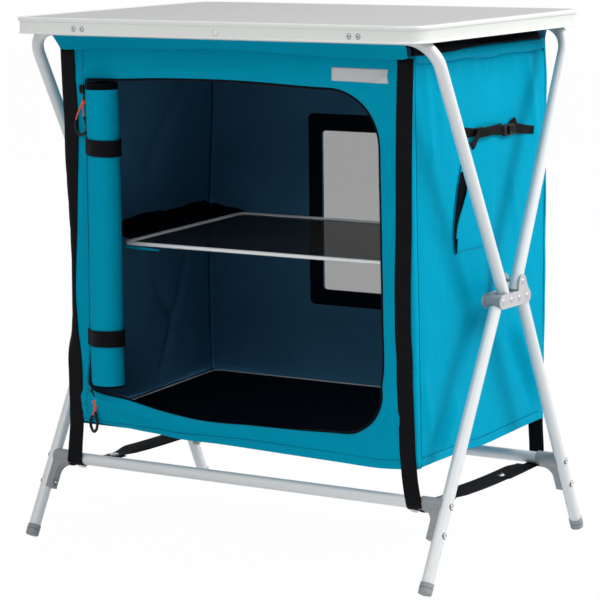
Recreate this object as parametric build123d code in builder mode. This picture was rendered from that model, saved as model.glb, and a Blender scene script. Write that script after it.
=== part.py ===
# Folding camping cupboard: a cloth cabinet hung between four folding tube frames, under a rimmed table top.
# Front is -Y, right is +X, up is +Z. The origin is on the floor, under the middle of the table top.
# Sizes are in millimetres.
from build123d import *
from math import acos, atan2, cos, degrees, hypot, pi, radians, sin
import os

os.makedirs("parts", exist_ok=True)

# Table top
top_length = 710
top_depth = 503
top_height = 800
rim_height = 24.4
rim_wall = 1.6
rim_corner_radius = 36
lip_height = 6.5
lip_reach = 2.5
lip_cover = 8
foot_lip_height = 1.6
foot_lip_reach = 1.2
foot_lip_width = 6
flange_width = 12
flange_thickness = 1.5
ring_overlap = 0.1
panel_thickness = 4
panel_gap = 0.4
panel_drop = 0.8
panel_rebate = 0.4
panel_rebate_gap = 0.2

# Brackets, rail and fasteners of the table top
bracket_x = (-226, 250)
bracket_length = 30
bracket_plate = 3
bracket_web = 3
bracket_seat_reach = 8
bracket_foot_gap = 0.4
rail_x = 20
rail_width = 30
rail_thickness = 1.5
rail_tab = 12
screw_pitch = 15
screw_radius = 1.5
screw_head_radius = 3
screw_head_height = 1.8
screw_head_edge = 0.9
screw_length = 6

# Tube frames
tube_radius = 9
tube_wall = 1.2
leg_inset = 5
top_bar_inset = 48.5
top_bar_drop = 20
bend_radius = 45
foot_spread = 33
lower_bar_z = 118

# Hub on each side: four pivots in a row, from the front to the rear
hub_z = 391
hub_y = 14
hub_pitch = 24
plate_thickness = 2
plate_radius = 10.5
plate_arm = 25
plate_notch = 4
hub_width = 27
knuckle_radius = 10
knuckle_gap = 0.3
spigot_length = 22
fit_gap = 0.25
pin_radius = 2.4
pin_clearance = 0.06
pin_head_radius = 4.2
pin_head_height = 1.5

# Elbows between the lower legs and their crossbars, and the feet
socket_radius = 11
socket_length = 30
socket_overlap = 22
elbow_width = 15
elbow_blade = 7
elbow_drop = 52
elbow_edge_radius = 0.5
elbow_web_radius = 16
elbow_rivet_pitch = 43
foot_length = 17
foot_wall = 1.1
foot_floor = 3
foot_edge = 2.5
foot_flat = 0.6

# Cloth cabinet: its walls follow the legs, the upper crossbars and the lower crossbars
cloth = 2
seam_gap = 0.3
cabinet_side_gap = 44
cabinet_rise = 54
skirt_drop = 32
side_overlap = 13
front_wall_inset = 13
front_wall_lean = 12
rear_wall_inset = 1
sleeve_cloth = 1.2
skirt_inset = 3
roof_inset = 8

# Door opening, from the edges of the front wall, with its rolled door and zip
door_inset_left = 44
door_inset_right = 51
door_inset_bottom = 37
door_inset_top = 39
door_radius_top_right = 85
door_radius_bottom_right = 66
door_radius_bottom_left = 32
door_radius_top_left = 6
zip_width = 4
zip_thickness = 1.2
roll_inset = 34
roll_radius = 26
roll_above_sill = 31
roll_below_head = 7
roll_spiral_step = 5
roll_cloth = 3.5
tie_width = 25
tie_thickness = 1.6
tie_above_roll_end = 74
tie_below_roll_end = 97
tie_slot = 22
slider_inset = 5
slider_above_sill = 18
slider_below_head = 19
slider_size = (9, 5, 14)
slider_corner = 3
pull_tab = (6, 2, 20)
pull_tab_corner = 2.4
pull_cord_radius = 1.6
pull_cord_length = 46
pull_sleeve_radius = 2.8
pull_sleeve_length = 17
patch_size = (89, 19)
patch_inset_right = 86
patch_inset_top = 21.5
patch_thickness = 0.6

# Rear window, from the edges of the rear wall
window_half_width = 88
window_inset_bottom = 174
window_inset_top = 145
window_radius = 8
mesh_border = 12
mesh_thickness = 1

# Webbing
webbing_width = 25
webbing_thickness = 1.6
strap_inset = 9
strap_gap = 0.3
strap_bend_slack = 0.1
strap_hem_step = 5
strap_tail = 98
stud_radius = 6
stud_height = 2
depth_stud_y = (-88, 84)
stud_shank_radius = 2
strap_stud_inset = 3
side_strap_drop = 134
side_strap_width = 17
side_strap_front = -60
side_strap_rear = 176
buckle_y = 88
buckle_size = (7, 38, 24)
buckle_corner = 3
pocket_y = (-75, 60)
pocket_drop = 15
pocket_height = 146
pocket_thickness = 1.5

# Middle shelf and floor board, from the walls round them
shelf_side_gap = 64
shelf_front_gap = 51
shelf_rear_gap = 5
shelf_front_z = 452
shelf_angle = 1.6
shelf_rod_radius = 3
shelf_corner_radius = 28
shelf_mesh_thickness = 1.5
sling_rise = 22
sling_cloth = 2.75
board_side_gap = 6
board_front_gap = 4
board_rear_gap = 6
board_rise = 8
board_angle = 2.8
board_rod_radius = 2.5
board_corner_radius = 14
board_thickness = 3
floor_overhang = 4

# Places that follow from the sizes above
left_right = (-1, 1)
outer_x = top_length / 2 - lip_reach
outer_y = top_depth / 2 - lip_reach
rim_bottom = top_height - rim_height
lip_bottom = top_height - lip_height
screw_z = (lip_bottom + rim_bottom) / 2
panel_top = top_height - panel_drop
panel_bottom = panel_top - panel_thickness
lip_underside = panel_top - panel_rebate
flange_top = panel_bottom
flange_bottom = flange_top - flange_thickness
inner_wall_y = outer_y - rim_wall
leg_x = top_length / 2 - leg_inset
top_bar_y = top_depth / 2 - top_bar_inset
top_bar_z = top_height - top_bar_drop
foot_y = top_bar_y + foot_spread
pivot_y = [hub_y + (index - 1.5) * hub_pitch for index in range(4)]
lower_front_pivot, upper_front_pivot, upper_rear_root, lower_rear_pivot = pivot_y
hub_outer_x = leg_x + tube_radius + knuckle_gap
hub_inner_x = hub_outer_x - hub_width
hub_middle_x = (hub_outer_x + hub_inner_x) / 2
sleeve_radius = tube_radius + fit_gap + sleeve_cloth
seat_radius = sleeve_radius + fit_gap
cabinet_half_width = leg_x - cabinet_side_gap
inner_half_width = cabinet_half_width - cloth
cabinet_bottom = lower_bar_z + cabinet_rise
cabinet_top = top_bar_z - skirt_drop
side_top = cabinet_top + side_overlap
front_top_y = top_bar_y - front_wall_inset
front_bottom_y = front_top_y - front_wall_lean
rear_wall_y = top_bar_y - rear_wall_inset
skirt_half_width = cabinet_half_width - skirt_inset
strap_x = cabinet_half_width - strap_inset
door_left = door_inset_left - cabinet_half_width
door_right = cabinet_half_width - door_inset_right
door_bottom = cabinet_bottom + door_inset_bottom
door_top = cabinet_top - door_inset_top
roll_x = door_left + roll_inset
roll_bottom = door_bottom + roll_above_sill
roll_top = door_top - roll_below_head
tie_z = (roll_bottom + tie_above_roll_end, roll_top - tie_below_roll_end)
slider_x = door_left - slider_inset
slider_z = (door_bottom + slider_above_sill, door_top - slider_below_head)
patch_x = cabinet_half_width - patch_inset_right
patch_z = cabinet_top - patch_inset_top
window_bottom = cabinet_bottom + window_inset_bottom
window_top = cabinet_top - window_inset_top
side_strap_z = side_top - side_strap_drop
pocket_top = side_strap_z - pocket_drop
shelf_half_width = inner_half_width - shelf_side_gap
shelf_front = cloth + shelf_front_gap - front_bottom_y
shelf_depth = rear_wall_y - cloth - shelf_rear_gap - shelf_front
board_half_width = inner_half_width - board_side_gap
board_front = cloth + board_front_gap - front_bottom_y
board_depth = rear_wall_y - cloth - board_rear_gap - board_front
board_front_z = cabinet_bottom + board_rise


def leg_plane(pivot, end_y, end_z, x=0):
    """Plane through a frame: X runs across, local Y runs from the pivot towards the frame's far end."""
    run, rise = end_y - pivot, end_z - hub_z
    length = hypot(run, rise)
    along = Vector(0, run / length, rise / length)
    return Plane(origin=(x, pivot, hub_z), x_dir=(1, 0, 0), z_dir=Vector(1, 0, 0).cross(along)), length


def front_wall_y(z):
    """Outer face of the sloping front wall at height z."""
    share = (z - cabinet_bottom) / (cabinet_top - cabinet_bottom)
    return -(front_bottom_y + share * (front_top_y - front_bottom_y))


upper_front_plane, upper_front_length = leg_plane(upper_front_pivot, -top_bar_y, top_bar_z)
upper_rear_plane, upper_rear_length = leg_plane(upper_rear_root, top_bar_y, top_bar_z)
lower_front_plane, lower_front_length = leg_plane(lower_front_pivot, -foot_y, 0)
lower_rear_plane, lower_rear_length = leg_plane(lower_rear_pivot, foot_y, 0)
lower_front_bar = lower_front_length * (hub_z - lower_bar_z) / hub_z
lower_rear_bar = lower_rear_length * (hub_z - lower_bar_z) / hub_z
lower_front_bar_y = lower_front_pivot + (-foot_y - lower_front_pivot) * (hub_z - lower_bar_z) / hub_z
lower_rear_bar_y = lower_rear_pivot + (foot_y - lower_rear_pivot) * (hub_z - lower_bar_z) / hub_z
tube_start = knuckle_radius + knuckle_gap

# Table top panel. Its edge lies lower, under the rim's lip.
with BuildPart() as top_panel:
    for inset, height in ((rim_wall + panel_gap, panel_thickness - panel_rebate),
                          (lip_cover + panel_rebate_gap, panel_thickness)):
        with BuildSketch(Plane.XY.offset(panel_bottom)):
            RectangleRounded(2 * (outer_x - inset), 2 * (outer_y - inset), rim_corner_radius - inset)
        extrude(amount=height)
top_panel.part.label = "top_panel"
export_step(top_panel.part, "parts/top_panel.step")

# Rim profile: stacked rings, each (bottom, top, outward reach, inward reach) from the wall's outer face
rim_rings = [
    (rim_bottom, lip_underside + ring_overlap, 0, rim_wall),
    (lip_bottom, top_height, lip_reach, rim_wall),
    (lip_underside, top_height, lip_reach, lip_cover),
    (flange_bottom, flange_top, 0, flange_width),
    (rim_bottom, rim_bottom + foot_lip_height, foot_lip_reach, foot_lip_width),
]
with BuildPart() as top_rim:
    for bottom, top, outward, inward in rim_rings:
        with BuildSketch(Plane.XY.offset(bottom)):
            RectangleRounded(2 * (outer_x + outward), 2 * (outer_y + outward), rim_corner_radius + outward)
            RectangleRounded(2 * (outer_x - inward), 2 * (outer_y - inward), rim_corner_radius - inward,
                             mode=Mode.SUBTRACT)
        extrude(amount=top - bottom)
    for fastener_y in (-outer_y, outer_y):
        hole_x = [x + side * screw_pitch / 2 for x in bracket_x for side in left_right] + [rail_x]
        with Locations(*[Location((x, fastener_y, screw_z), (90, 0, 0)) for x in hole_x]):
            Cylinder(screw_radius + pin_clearance, 4 * rim_wall, mode=Mode.SUBTRACT)
top_rim.part.label = "top_rim"
export_step(top_rim.part, "parts/top_rim.step")

# Flat rail under the panel, with its ends turned down on the rim's inner faces
with BuildPart() as top_cross_rail:
    with Locations((rail_x, 0, flange_bottom - rail_thickness / 2)):
        Box(rail_width, 2 * inner_wall_y, rail_thickness)
    for side in left_right:
        with Locations((rail_x, side * (inner_wall_y - rail_thickness / 2), flange_bottom - rail_tab / 2)):
            Box(rail_width, rail_thickness, rail_tab)
    with Locations(Location((rail_x, 0, screw_z), (90, 0, 0))):
        Cylinder(screw_radius + pin_clearance, 2 * outer_y, mode=Mode.SUBTRACT)
top_cross_rail.part.label = "top_cross_rail"
export_step(top_cross_rail.part, "parts/top_cross_rail.step")


def bracket_solid(side):
    """Two seats on one side of the top. Each holds a crossbar from above and outside, and is open inwards."""
    seat_top = top_bar_z + seat_radius
    bracket_foot_z = rim_bottom + foot_lip_height + bracket_foot_gap
    with BuildPart() as seats:
        for x in bracket_x:
            with BuildSketch(Plane(origin=(x - bracket_length / 2, 0, 0), x_dir=(0, side, 0), z_dir=(side, 0, 0))):
                with BuildLine():
                    Polyline(
                        (inner_wall_y, bracket_foot_z), (inner_wall_y, flange_bottom),
                        (top_bar_y - bracket_seat_reach, flange_bottom),
                        (top_bar_y - bracket_seat_reach, seat_top), (top_bar_y, seat_top),
                        (top_bar_y, top_bar_z), (top_bar_y + seat_radius + bracket_web, top_bar_z),
                        (top_bar_y + seat_radius + bracket_web, seat_top),
                        (inner_wall_y - bracket_plate, seat_top), (inner_wall_y - bracket_plate, bracket_foot_z),
                        close=True,
                    )
                make_face()
                with Locations((top_bar_y, top_bar_z)):
                    Circle(seat_radius, mode=Mode.SUBTRACT)
            extrude(amount=side * bracket_length)
        for x in bracket_x:
            for shift in left_right:
                place = (x + shift * screw_pitch / 2, side * inner_wall_y, screw_z)
                with Locations(Location(place, (90, 0, 0))):
                    Cylinder(screw_radius + pin_clearance, 4 * bracket_plate, mode=Mode.SUBTRACT)
    return seats.part


front_brackets = bracket_solid(-1)
front_brackets.label = "front_brackets"
export_step(front_brackets, "parts/front_brackets.step")

rear_brackets = bracket_solid(1)
rear_brackets.label = "rear_brackets"
export_step(rear_brackets, "parts/rear_brackets.step")

# Pan-head screws of the brackets and rivets of the rail, all of one size
with BuildPart() as rim_fasteners:
    for side in left_right:
        for x in [x + shift * screw_pitch / 2 for x in bracket_x for shift in left_right] + [rail_x]:
            face = Plane(origin=(x, side * outer_y, screw_z), z_dir=(0, side, 0))
            with BuildSketch(face.offset(-screw_length)):
                Circle(screw_radius)
            extrude(amount=screw_length)
            with BuildSketch(face):
                Circle(screw_head_radius)
            extrude(amount=screw_head_height)
    fillet(rim_fasteners.edges().filter_by(GeomType.CIRCLE).filter_by(
        lambda edge: abs(abs(edge.center().Y) - outer_y - screw_head_height) < 0.01), screw_head_edge)
rim_fasteners.part.label = "rim_fasteners"
export_step(rim_fasteners.part, "parts/rim_fasteners.step")


def cross_holes(plane, along):
    """Cut the holes of a rivet that goes across both legs at a distance from the pivot."""
    for side in left_right:
        with Locations(Location(plane.from_local_coords((side * leg_x, along, 0)), (0, 90, 0))):
            Cylinder(pin_radius + pin_clearance, hub_width, mode=Mode.SUBTRACT)


def u_frame(plane, length, rivet_along=None):
    """A tube bent to a U: two legs from the hubs and the crossbar between them."""
    with BuildPart() as frame:
        with BuildLine(plane) as path:
            FilletPolyline((-leg_x, tube_start), (-leg_x, length), (leg_x, length), (leg_x, tube_start),
                           radius=bend_radius)
        with BuildSketch(Plane(origin=path.line @ 0, z_dir=path.line % 0)):
            Circle(tube_radius)
            Circle(tube_radius - tube_wall, mode=Mode.SUBTRACT)
        sweep(path=path.line)
        if rivet_along:
            cross_holes(plane, rivet_along)
    return frame.part


upper_front_frame = u_frame(upper_front_plane, upper_front_length)
upper_front_frame.label = "upper_front_frame"
export_step(upper_front_frame, "parts/upper_front_frame.step")

upper_rear_frame = u_frame(upper_rear_plane, upper_rear_length, plate_arm)
upper_rear_frame.label = "upper_rear_frame"
export_step(upper_rear_frame, "parts/upper_rear_frame.step")


def knuckle_pair(plane, pivot, rivet_along=None):
    """Moulded tube ends: a barrel across the hub with a bore for the pin, and a spigot inside the tube."""
    with BuildPart() as pair:
        for side in left_right:
            with Locations(Location((side * hub_middle_x, pivot, hub_z), (0, 90, 0))):
                Cylinder(knuckle_radius, hub_width - 2 * knuckle_gap)
            spigot = Plane(origin=plane.from_local_coords((side * leg_x, 0, 0)), z_dir=plane.y_dir)
            with BuildSketch(spigot):
                Circle(tube_radius - tube_wall - fit_gap)
            extrude(amount=tube_start + spigot_length)
            with Locations(Location((side * hub_middle_x, pivot, hub_z), (0, 90, 0))):
                Cylinder(pin_radius + pin_clearance, 2 * hub_width, mode=Mode.SUBTRACT)
        if rivet_along:
            cross_holes(plane, rivet_along)
    return pair.part


knuckles = {
    "upper_front_knuckles": (upper_front_plane, upper_front_pivot),
    "upper_rear_knuckles": (upper_rear_plane, upper_rear_root, plate_arm),
    "lower_front_knuckles": (lower_front_plane, lower_front_pivot),
    "lower_rear_knuckles": (lower_rear_plane, lower_rear_pivot),
}
for name, places in knuckles.items():
    pair = knuckle_pair(*places)
    pair.label = name
    export_step(pair, f"parts/{name}.step")

# Hub plates: an arm along the four pivots and an arm up the upper rear leg, riveted to it
arm_rivet = upper_rear_plane.from_local_coords((0, plate_arm, 0))
for side, side_name in zip(left_right, ("left", "right")):
    for place, inner_face in (("outer", hub_outer_x), ("inner", hub_inner_x - plate_thickness)):
        start_x = side * inner_face
        with BuildPart() as hub_plate:
            with BuildSketch(Plane(origin=(start_x, 0, 0), x_dir=(0, 1, 0), z_dir=(1, 0, 0))):
                with Locations(*[(y, hub_z) for y in pivot_y], (arm_rivet.Y, arm_rivet.Z)):
                    Circle(plate_radius)
                with Locations((hub_y, hub_z)):
                    Rectangle(3 * hub_pitch, 2 * plate_radius)
                with BuildLine():
                    Polyline((upper_rear_root - plate_notch, hub_z), (arm_rivet.Y - plate_radius, arm_rivet.Z),
                             (arm_rivet.Y + plate_radius, arm_rivet.Z), (lower_rear_pivot + plate_radius, hub_z),
                             close=True)
                make_face()
                with Locations(*[(y, hub_z) for y in pivot_y], (arm_rivet.Y, arm_rivet.Z)):
                    Circle(pin_radius + pin_clearance, mode=Mode.SUBTRACT)
            extrude(amount=side * plate_thickness)
        hub_plate.part.label = f"hub_plate_{place}_{side_name}"
        export_step(hub_plate.part, f"parts/hub_plate_{place}_{side_name}.step")

# Hub pins: one through each barrel and plate, headed on both sides
pin_length = hub_width + 2 * plate_thickness


def hub_pins(places):
    """Headed pins across both hubs at the given (y, z) places."""
    with BuildPart() as pins:
        for side in left_right:
            for y, z in places:
                axis_turn = (0, 90, 0)
                with Locations(Location((side * hub_middle_x, y, z), axis_turn)):
                    Cylinder(pin_radius, pin_length)
                for end in left_right:
                    head_x = side * hub_middle_x + end * (pin_length + pin_head_height) / 2
                    with Locations(Location((head_x, y, z), axis_turn)):
                        Cylinder(pin_head_radius, pin_head_height)
    return pins.part


hub_pivot_pins = hub_pins([(lower_front_pivot, hub_z), (upper_front_pivot, hub_z), (lower_rear_pivot, hub_z)])
hub_pivot_pins.label = "hub_pivot_pins"
export_step(hub_pivot_pins, "parts/hub_pivot_pins.step")

# Fixed rivets of the hub: they hold the plates to the upper rear tube
hub_fixed_rivets = hub_pins([(upper_rear_root, hub_z), (arm_rivet.Y, arm_rivet.Z)])
hub_fixed_rivets.label = "hub_fixed_rivets"
export_step(hub_fixed_rivets, "parts/hub_fixed_rivets.step")

# Lower frames: straight legs, a crossbar held by elbows, knuckles at the hub and caps on the feet
foot_radius = tube_radius + pin_clearance + foot_wall
bar_end_x = leg_x - tube_radius - socket_length + socket_overlap
lower_frames = {
    "front": (lower_front_plane, lower_front_length, lower_front_bar),
    "rear": (lower_rear_plane, lower_rear_length, lower_rear_bar),
}
for end_name, (plane, length, bar) in lower_frames.items():
    lean_cos = hub_z / length
    lean_sin = (1 - lean_cos**2) ** 0.5
    foot_end = (hub_z + foot_flat - (foot_radius - foot_edge) * lean_sin - foot_edge) / lean_cos + foot_edge
    rivet_places = (bar, bar + elbow_rivet_pitch)

    for side, side_name in zip(left_right, ("left", "right")):
        leg_start = plane.from_local_coords((side * leg_x, tube_start, 0))
        with BuildPart() as leg:
            with BuildSketch(Plane(origin=leg_start, z_dir=plane.y_dir)):
                Circle(tube_radius)
                Circle(tube_radius - tube_wall, mode=Mode.SUBTRACT)
            extrude(amount=foot_end - foot_floor - tube_start)
            for along in rivet_places:
                centre = plane.from_local_coords((side * leg_x, along, 0))
                with Locations(Location(centre, (0, 90, 0))):
                    Cylinder(pin_radius + pin_clearance, 3 * tube_radius, mode=Mode.SUBTRACT)
        leg.part.label = f"lower_{end_name}_leg_{side_name}"
        export_step(leg.part, f"parts/lower_{end_name}_leg_{side_name}.step")

    bar_place = plane.from_local_coords((-bar_end_x, bar, 0))
    with BuildPart() as crossbar:
        with BuildSketch(Plane(origin=bar_place, z_dir=(1, 0, 0))):
            Circle(tube_radius)
            Circle(tube_radius - tube_wall, mode=Mode.SUBTRACT)
        extrude(amount=2 * bar_end_x)
    crossbar.part.label = f"lower_{end_name}_crossbar"
    export_step(crossbar.part, f"parts/lower_{end_name}_crossbar.step")

    with BuildPart() as elbows:
        for side in left_right:
            mouth_x = side * (leg_x - tube_radius - socket_length)
            blade_x = side * (leg_x - tube_radius - elbow_blade)
            seat_x = side * (leg_x - tube_radius / 2)
            with BuildSketch(plane):
                with BuildLine():
                    web = FilletPolyline((mouth_x, bar), (mouth_x, bar + socket_radius),
                                         (blade_x, bar + socket_radius), (blade_x, bar + elbow_drop),
                                         radius=(elbow_edge_radius, elbow_web_radius))
                    Polyline(web @ 1, (seat_x, bar + elbow_drop), (seat_x, bar), web @ 0)
                make_face()
            extrude(amount=elbow_width / 2, both=True)
            mouth = Plane(origin=plane.from_local_coords((mouth_x, bar, 0)), z_dir=(side, 0, 0))
            with BuildSketch(mouth):
                Circle(socket_radius)
            extrude(amount=abs(seat_x - mouth_x))
            with BuildSketch(mouth):
                Circle(tube_radius + pin_clearance)
            extrude(amount=socket_overlap + fit_gap, mode=Mode.SUBTRACT)
            with BuildSketch(Plane(origin=plane.from_local_coords((side * leg_x, 0, 0)), z_dir=plane.y_dir)):
                Circle(tube_radius + pin_clearance)
            extrude(amount=length, mode=Mode.SUBTRACT)
            for along in rivet_places:
                centre = plane.from_local_coords((side * leg_x, along, 0))
                with Locations(Location(centre, (0, 90, 0))):
                    Cylinder(pin_radius + pin_clearance, 4 * tube_radius, mode=Mode.SUBTRACT)
    elbows.part.label = f"{end_name}_elbows"
    export_step(elbows.part, f"parts/{end_name}_elbows.step")

    with BuildPart() as elbow_rivets:
        for side in left_right:
            for along, inner_x in zip(rivet_places, (bar_end_x + fit_gap, leg_x - tube_radius - elbow_blade)):
                outer_head_x = leg_x + tube_radius
                seat = plane.from_local_coords((side * inner_x, along, 0))
                with BuildSketch(Plane(origin=seat, z_dir=(side, 0, 0))):
                    Circle(pin_radius)
                extrude(amount=outer_head_x - inner_x)
                for head_x in (inner_x - pin_head_height, outer_head_x):
                    head = plane.from_local_coords((side * head_x, along, 0))
                    with BuildSketch(Plane(origin=head, z_dir=(side, 0, 0))):
                        Circle(pin_head_radius)
                    extrude(amount=pin_head_height)
    elbow_rivets.part.label = f"{end_name}_elbow_rivets"
    export_step(elbow_rivets.part, f"parts/{end_name}_elbow_rivets.step")

    with BuildPart() as feet:
        for side in left_right:
            cap_start = plane.from_local_coords((side * leg_x, foot_end - foot_length, 0))
            with BuildSketch(Plane(origin=cap_start, z_dir=plane.y_dir)):
                Circle(foot_radius)
            extrude(amount=foot_length)
        fillet(feet.faces().filter_by(Plane(origin=(0, 0, 0), z_dir=plane.y_dir)).group_by(Axis.Z)[0].edges(),
               foot_edge)
        for side in left_right:
            cap_start = plane.from_local_coords((side * leg_x, foot_end - foot_length, 0))
            with BuildSketch(Plane(origin=cap_start, z_dir=plane.y_dir)):
                Circle(tube_radius + pin_clearance)
            extrude(amount=foot_length - foot_floor, mode=Mode.SUBTRACT)
        split(bisect_by=Plane.XY, keep=Keep.TOP)
    feet.part.label = f"{end_name}_feet"
    export_step(feet.part, f"parts/{end_name}_feet.step")

# Front wall of the cabinet. Its plane has X across, local Y up along the cloth and local Z outwards.
wall_rise = cabinet_top - cabinet_bottom
wall_slope = hypot(wall_rise, front_top_y - front_bottom_y)
front_plane = Plane(origin=(0, -front_bottom_y, cabinet_bottom), x_dir=(1, 0, 0),
                    z_dir=(0, -wall_rise, front_bottom_y - front_top_y))


def up_wall(z):
    """Distance along the front wall to height z."""
    return (z - cabinet_bottom) * wall_slope / wall_rise


def door_outline(grow):
    """Door opening with its four different corners, grown by the given width."""
    left, right = door_left - grow, door_right + grow
    bottom, top = up_wall(door_bottom) - grow, up_wall(door_top) + grow
    corners = [(right, bottom), (right, top), (left, top), (left, bottom)]
    radii = [radius + grow for radius in (door_radius_bottom_right, door_radius_top_right,
                                          door_radius_top_left, door_radius_bottom_left)]
    with BuildSketch(front_plane, mode=Mode.PRIVATE) as outline:
        with BuildLine():
            FilletPolyline(*corners, radius=radii, close=True)
        make_face()
    return outline.sketch_local


with BuildPart() as front_panel:
    with BuildSketch(front_plane):
        with Locations((0, wall_slope / 2)):
            Rectangle(2 * cabinet_half_width, wall_slope)
        add(door_outline(0), mode=Mode.SUBTRACT)
    extrude(amount=-cloth)
front_panel.part.label = "front_panel"
export_step(front_panel.part, "parts/front_panel.step")

with BuildPart() as zip_tape:
    with BuildSketch(front_plane):
        add(door_outline(zip_width))
        add(door_outline(0), mode=Mode.SUBTRACT)
    extrude(amount=zip_thickness)
zip_tape.part.label = "zip_tape"
export_step(zip_tape.part, "parts/zip_tape.step")

with BuildPart() as name_patch:
    with BuildSketch(front_plane):
        with Locations((patch_x, up_wall(patch_z))):
            Rectangle(*patch_size)
    extrude(amount=patch_thickness)
name_patch.part.label = "name_patch"
export_step(name_patch.part, "parts/name_patch.step")

# Rolled door: the cloth leaves the left edge of the opening and winds into a spiral of half turns,
# which stands in the opening with its axis in the front wall. The ties go round it.
roll_section = Plane(origin=front_plane.from_local_coords((0, up_wall(roll_bottom), 0)),
                     x_dir=(1, 0, 0), z_dir=front_plane.y_dir)
outward = -1 if roll_section.y_dir.Y > 0 else 1
turn_radius = roll_radius - roll_cloth / 2
edge_x = door_left + seam_gap + roll_cloth / 2
lift_angle = acos(turn_radius / (roll_x - edge_x))
lift_point = (roll_x - turn_radius * cos(lift_angle), outward * turn_radius * sin(lift_angle))
first_crest = (roll_x - turn_radius * cos((lift_angle + pi / 2) / 2),
               outward * turn_radius * sin((lift_angle + pi / 2) / 2))
slot_angle = degrees(atan2(lift_point[1], lift_point[0] - edge_x))
with BuildPart() as door_roll:
    with BuildSketch(roll_section):
        with BuildLine():
            Line((edge_x, 0), lift_point)
            start = outward * turn_radius
            ThreePointArc(lift_point, first_crest, (roll_x, start))
            sideways = 1
            while turn_radius > roll_spiral_step:
                end = start - outward * sideways * (2 * turn_radius - roll_spiral_step / 2)
                middle = (roll_x + sideways * (turn_radius - roll_spiral_step / 4), (start + end) / 2)
                ThreePointArc((roll_x, start), middle, (roll_x, end))
                start, sideways = end, -sideways
                turn_radius -= roll_spiral_step / 2
        trace(line_width=roll_cloth)
    extrude(amount=up_wall(roll_top) - up_wall(roll_bottom))
door_roll.part.label = "door_roll"
export_step(door_roll.part, "parts/door_roll.step")

with BuildPart() as door_ties:
    for z in tie_z:
        tie_plane = Plane(origin=front_plane.from_local_coords((0, up_wall(z) - tie_width / 2, 0)),
                          x_dir=(1, 0, 0), z_dir=front_plane.y_dir)
        with BuildSketch(tie_plane):
            with Locations((roll_x, 0)):
                Circle(roll_radius + seam_gap + tie_thickness)
                Circle(roll_radius + seam_gap, mode=Mode.SUBTRACT)
            with Locations(Location(lift_point, (0, 0, slot_angle))):
                Rectangle(tie_slot, roll_cloth + 2 * seam_gap, align=(Align.MAX, Align.CENTER),
                          mode=Mode.SUBTRACT)
        extrude(amount=tie_width)
door_ties.part.label = "door_ties"
export_step(door_ties.part, "parts/door_ties.step")

# Zip sliders on the left of the opening, each with a swinging pull: a tab, a cord loop and a sleeve
with BuildPart() as zip_sliders:
    for z in slider_z:
        with BuildSketch(front_plane.offset(zip_thickness)):
            with Locations((slider_x, up_wall(z))):
                RectangleRounded(slider_size[0], slider_size[2], slider_corner)
        extrude(amount=slider_size[1])
zip_sliders.part.label = "zip_sliders"
export_step(zip_sliders.part, "parts/zip_sliders.step")

for z, place_name in zip(slider_z, ("bottom", "top")):
    face = front_plane.from_local_coords((slider_x, up_wall(z), zip_thickness + slider_size[1]))
    hang = Plane(origin=face + Vector(0, -fit_gap - pull_tab[1] / 2, 0), x_dir=(1, 0, 0), z_dir=(0, -1, 0))
    with BuildPart() as zip_pull:
        with BuildSketch(hang):
            with Locations((0, -pull_tab[2] / 2)):
                RectangleRounded(pull_tab[0], pull_tab[2], pull_tab_corner)
        extrude(amount=pull_tab[1] / 2, both=True)
        with BuildSketch(Plane(origin=hang.origin + Vector(0, 0, -pull_tab[2]), z_dir=(0, 0, -1))):
            Circle(pull_cord_radius)
        extrude(amount=pull_cord_length)
        sleeve_start = hang.origin + Vector(0, 0, -pull_tab[2] - pull_cord_length)
        with BuildSketch(Plane(origin=sleeve_start, z_dir=(0, 0, -1))):
            Circle(pull_sleeve_radius)
        extrude(amount=pull_sleeve_length)
    zip_pull.part.label = f"zip_pull_{place_name}"
    export_step(zip_pull.part, f"parts/zip_pull_{place_name}.step")

# Rear wall with its window
window_height = window_top - window_bottom
window_z = (window_top + window_bottom) / 2
rear_face = Plane(origin=(0, rear_wall_y, 0), x_dir=(-1, 0, 0), z_dir=(0, 1, 0))
with BuildPart() as rear_panel:
    with BuildSketch(rear_face):
        with Locations((0, (cabinet_top + cabinet_bottom) / 2)):
            Rectangle(2 * cabinet_half_width, wall_rise)
        with Locations((0, window_z)):
            RectangleRounded(2 * window_half_width, window_height, window_radius, mode=Mode.SUBTRACT)
    extrude(amount=-cloth)
rear_panel.part.label = "rear_panel"
export_step(rear_panel.part, "parts/rear_panel.step")

with BuildPart() as window_mesh:
    with BuildSketch(rear_face.offset(-cloth)):
        with Locations((0, window_z)):
            RectangleRounded(2 * (window_half_width + mesh_border), window_height + 2 * mesh_border,
                             window_radius + mesh_border)
    extrude(amount=-mesh_thickness)
window_mesh.part.label = "window_mesh"
export_step(window_mesh.part, "parts/window_mesh.step")

# Side walls, from the front wall's inner face to the rear wall's
side_front_bottom = -front_bottom_y + cloth + seam_gap
side_front_top = front_wall_y(side_top) + cloth + seam_gap
side_rear = rear_wall_y - cloth - seam_gap
for side, side_name in zip(left_right, ("left", "right")):
    with BuildPart() as side_panel:
        with BuildSketch(Plane(origin=(side * inner_half_width, 0, 0), x_dir=(0, 1, 0), z_dir=(1, 0, 0))):
            Polygon((side_front_bottom, cabinet_bottom), (side_rear, cabinet_bottom), (side_rear, side_top),
                    (side_front_top, side_top), align=None)
        extrude(amount=side * cloth)
    side_panel.part.label = f"side_panel_{side_name}"
    export_step(side_panel.part, f"parts/side_panel_{side_name}.step")

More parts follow.
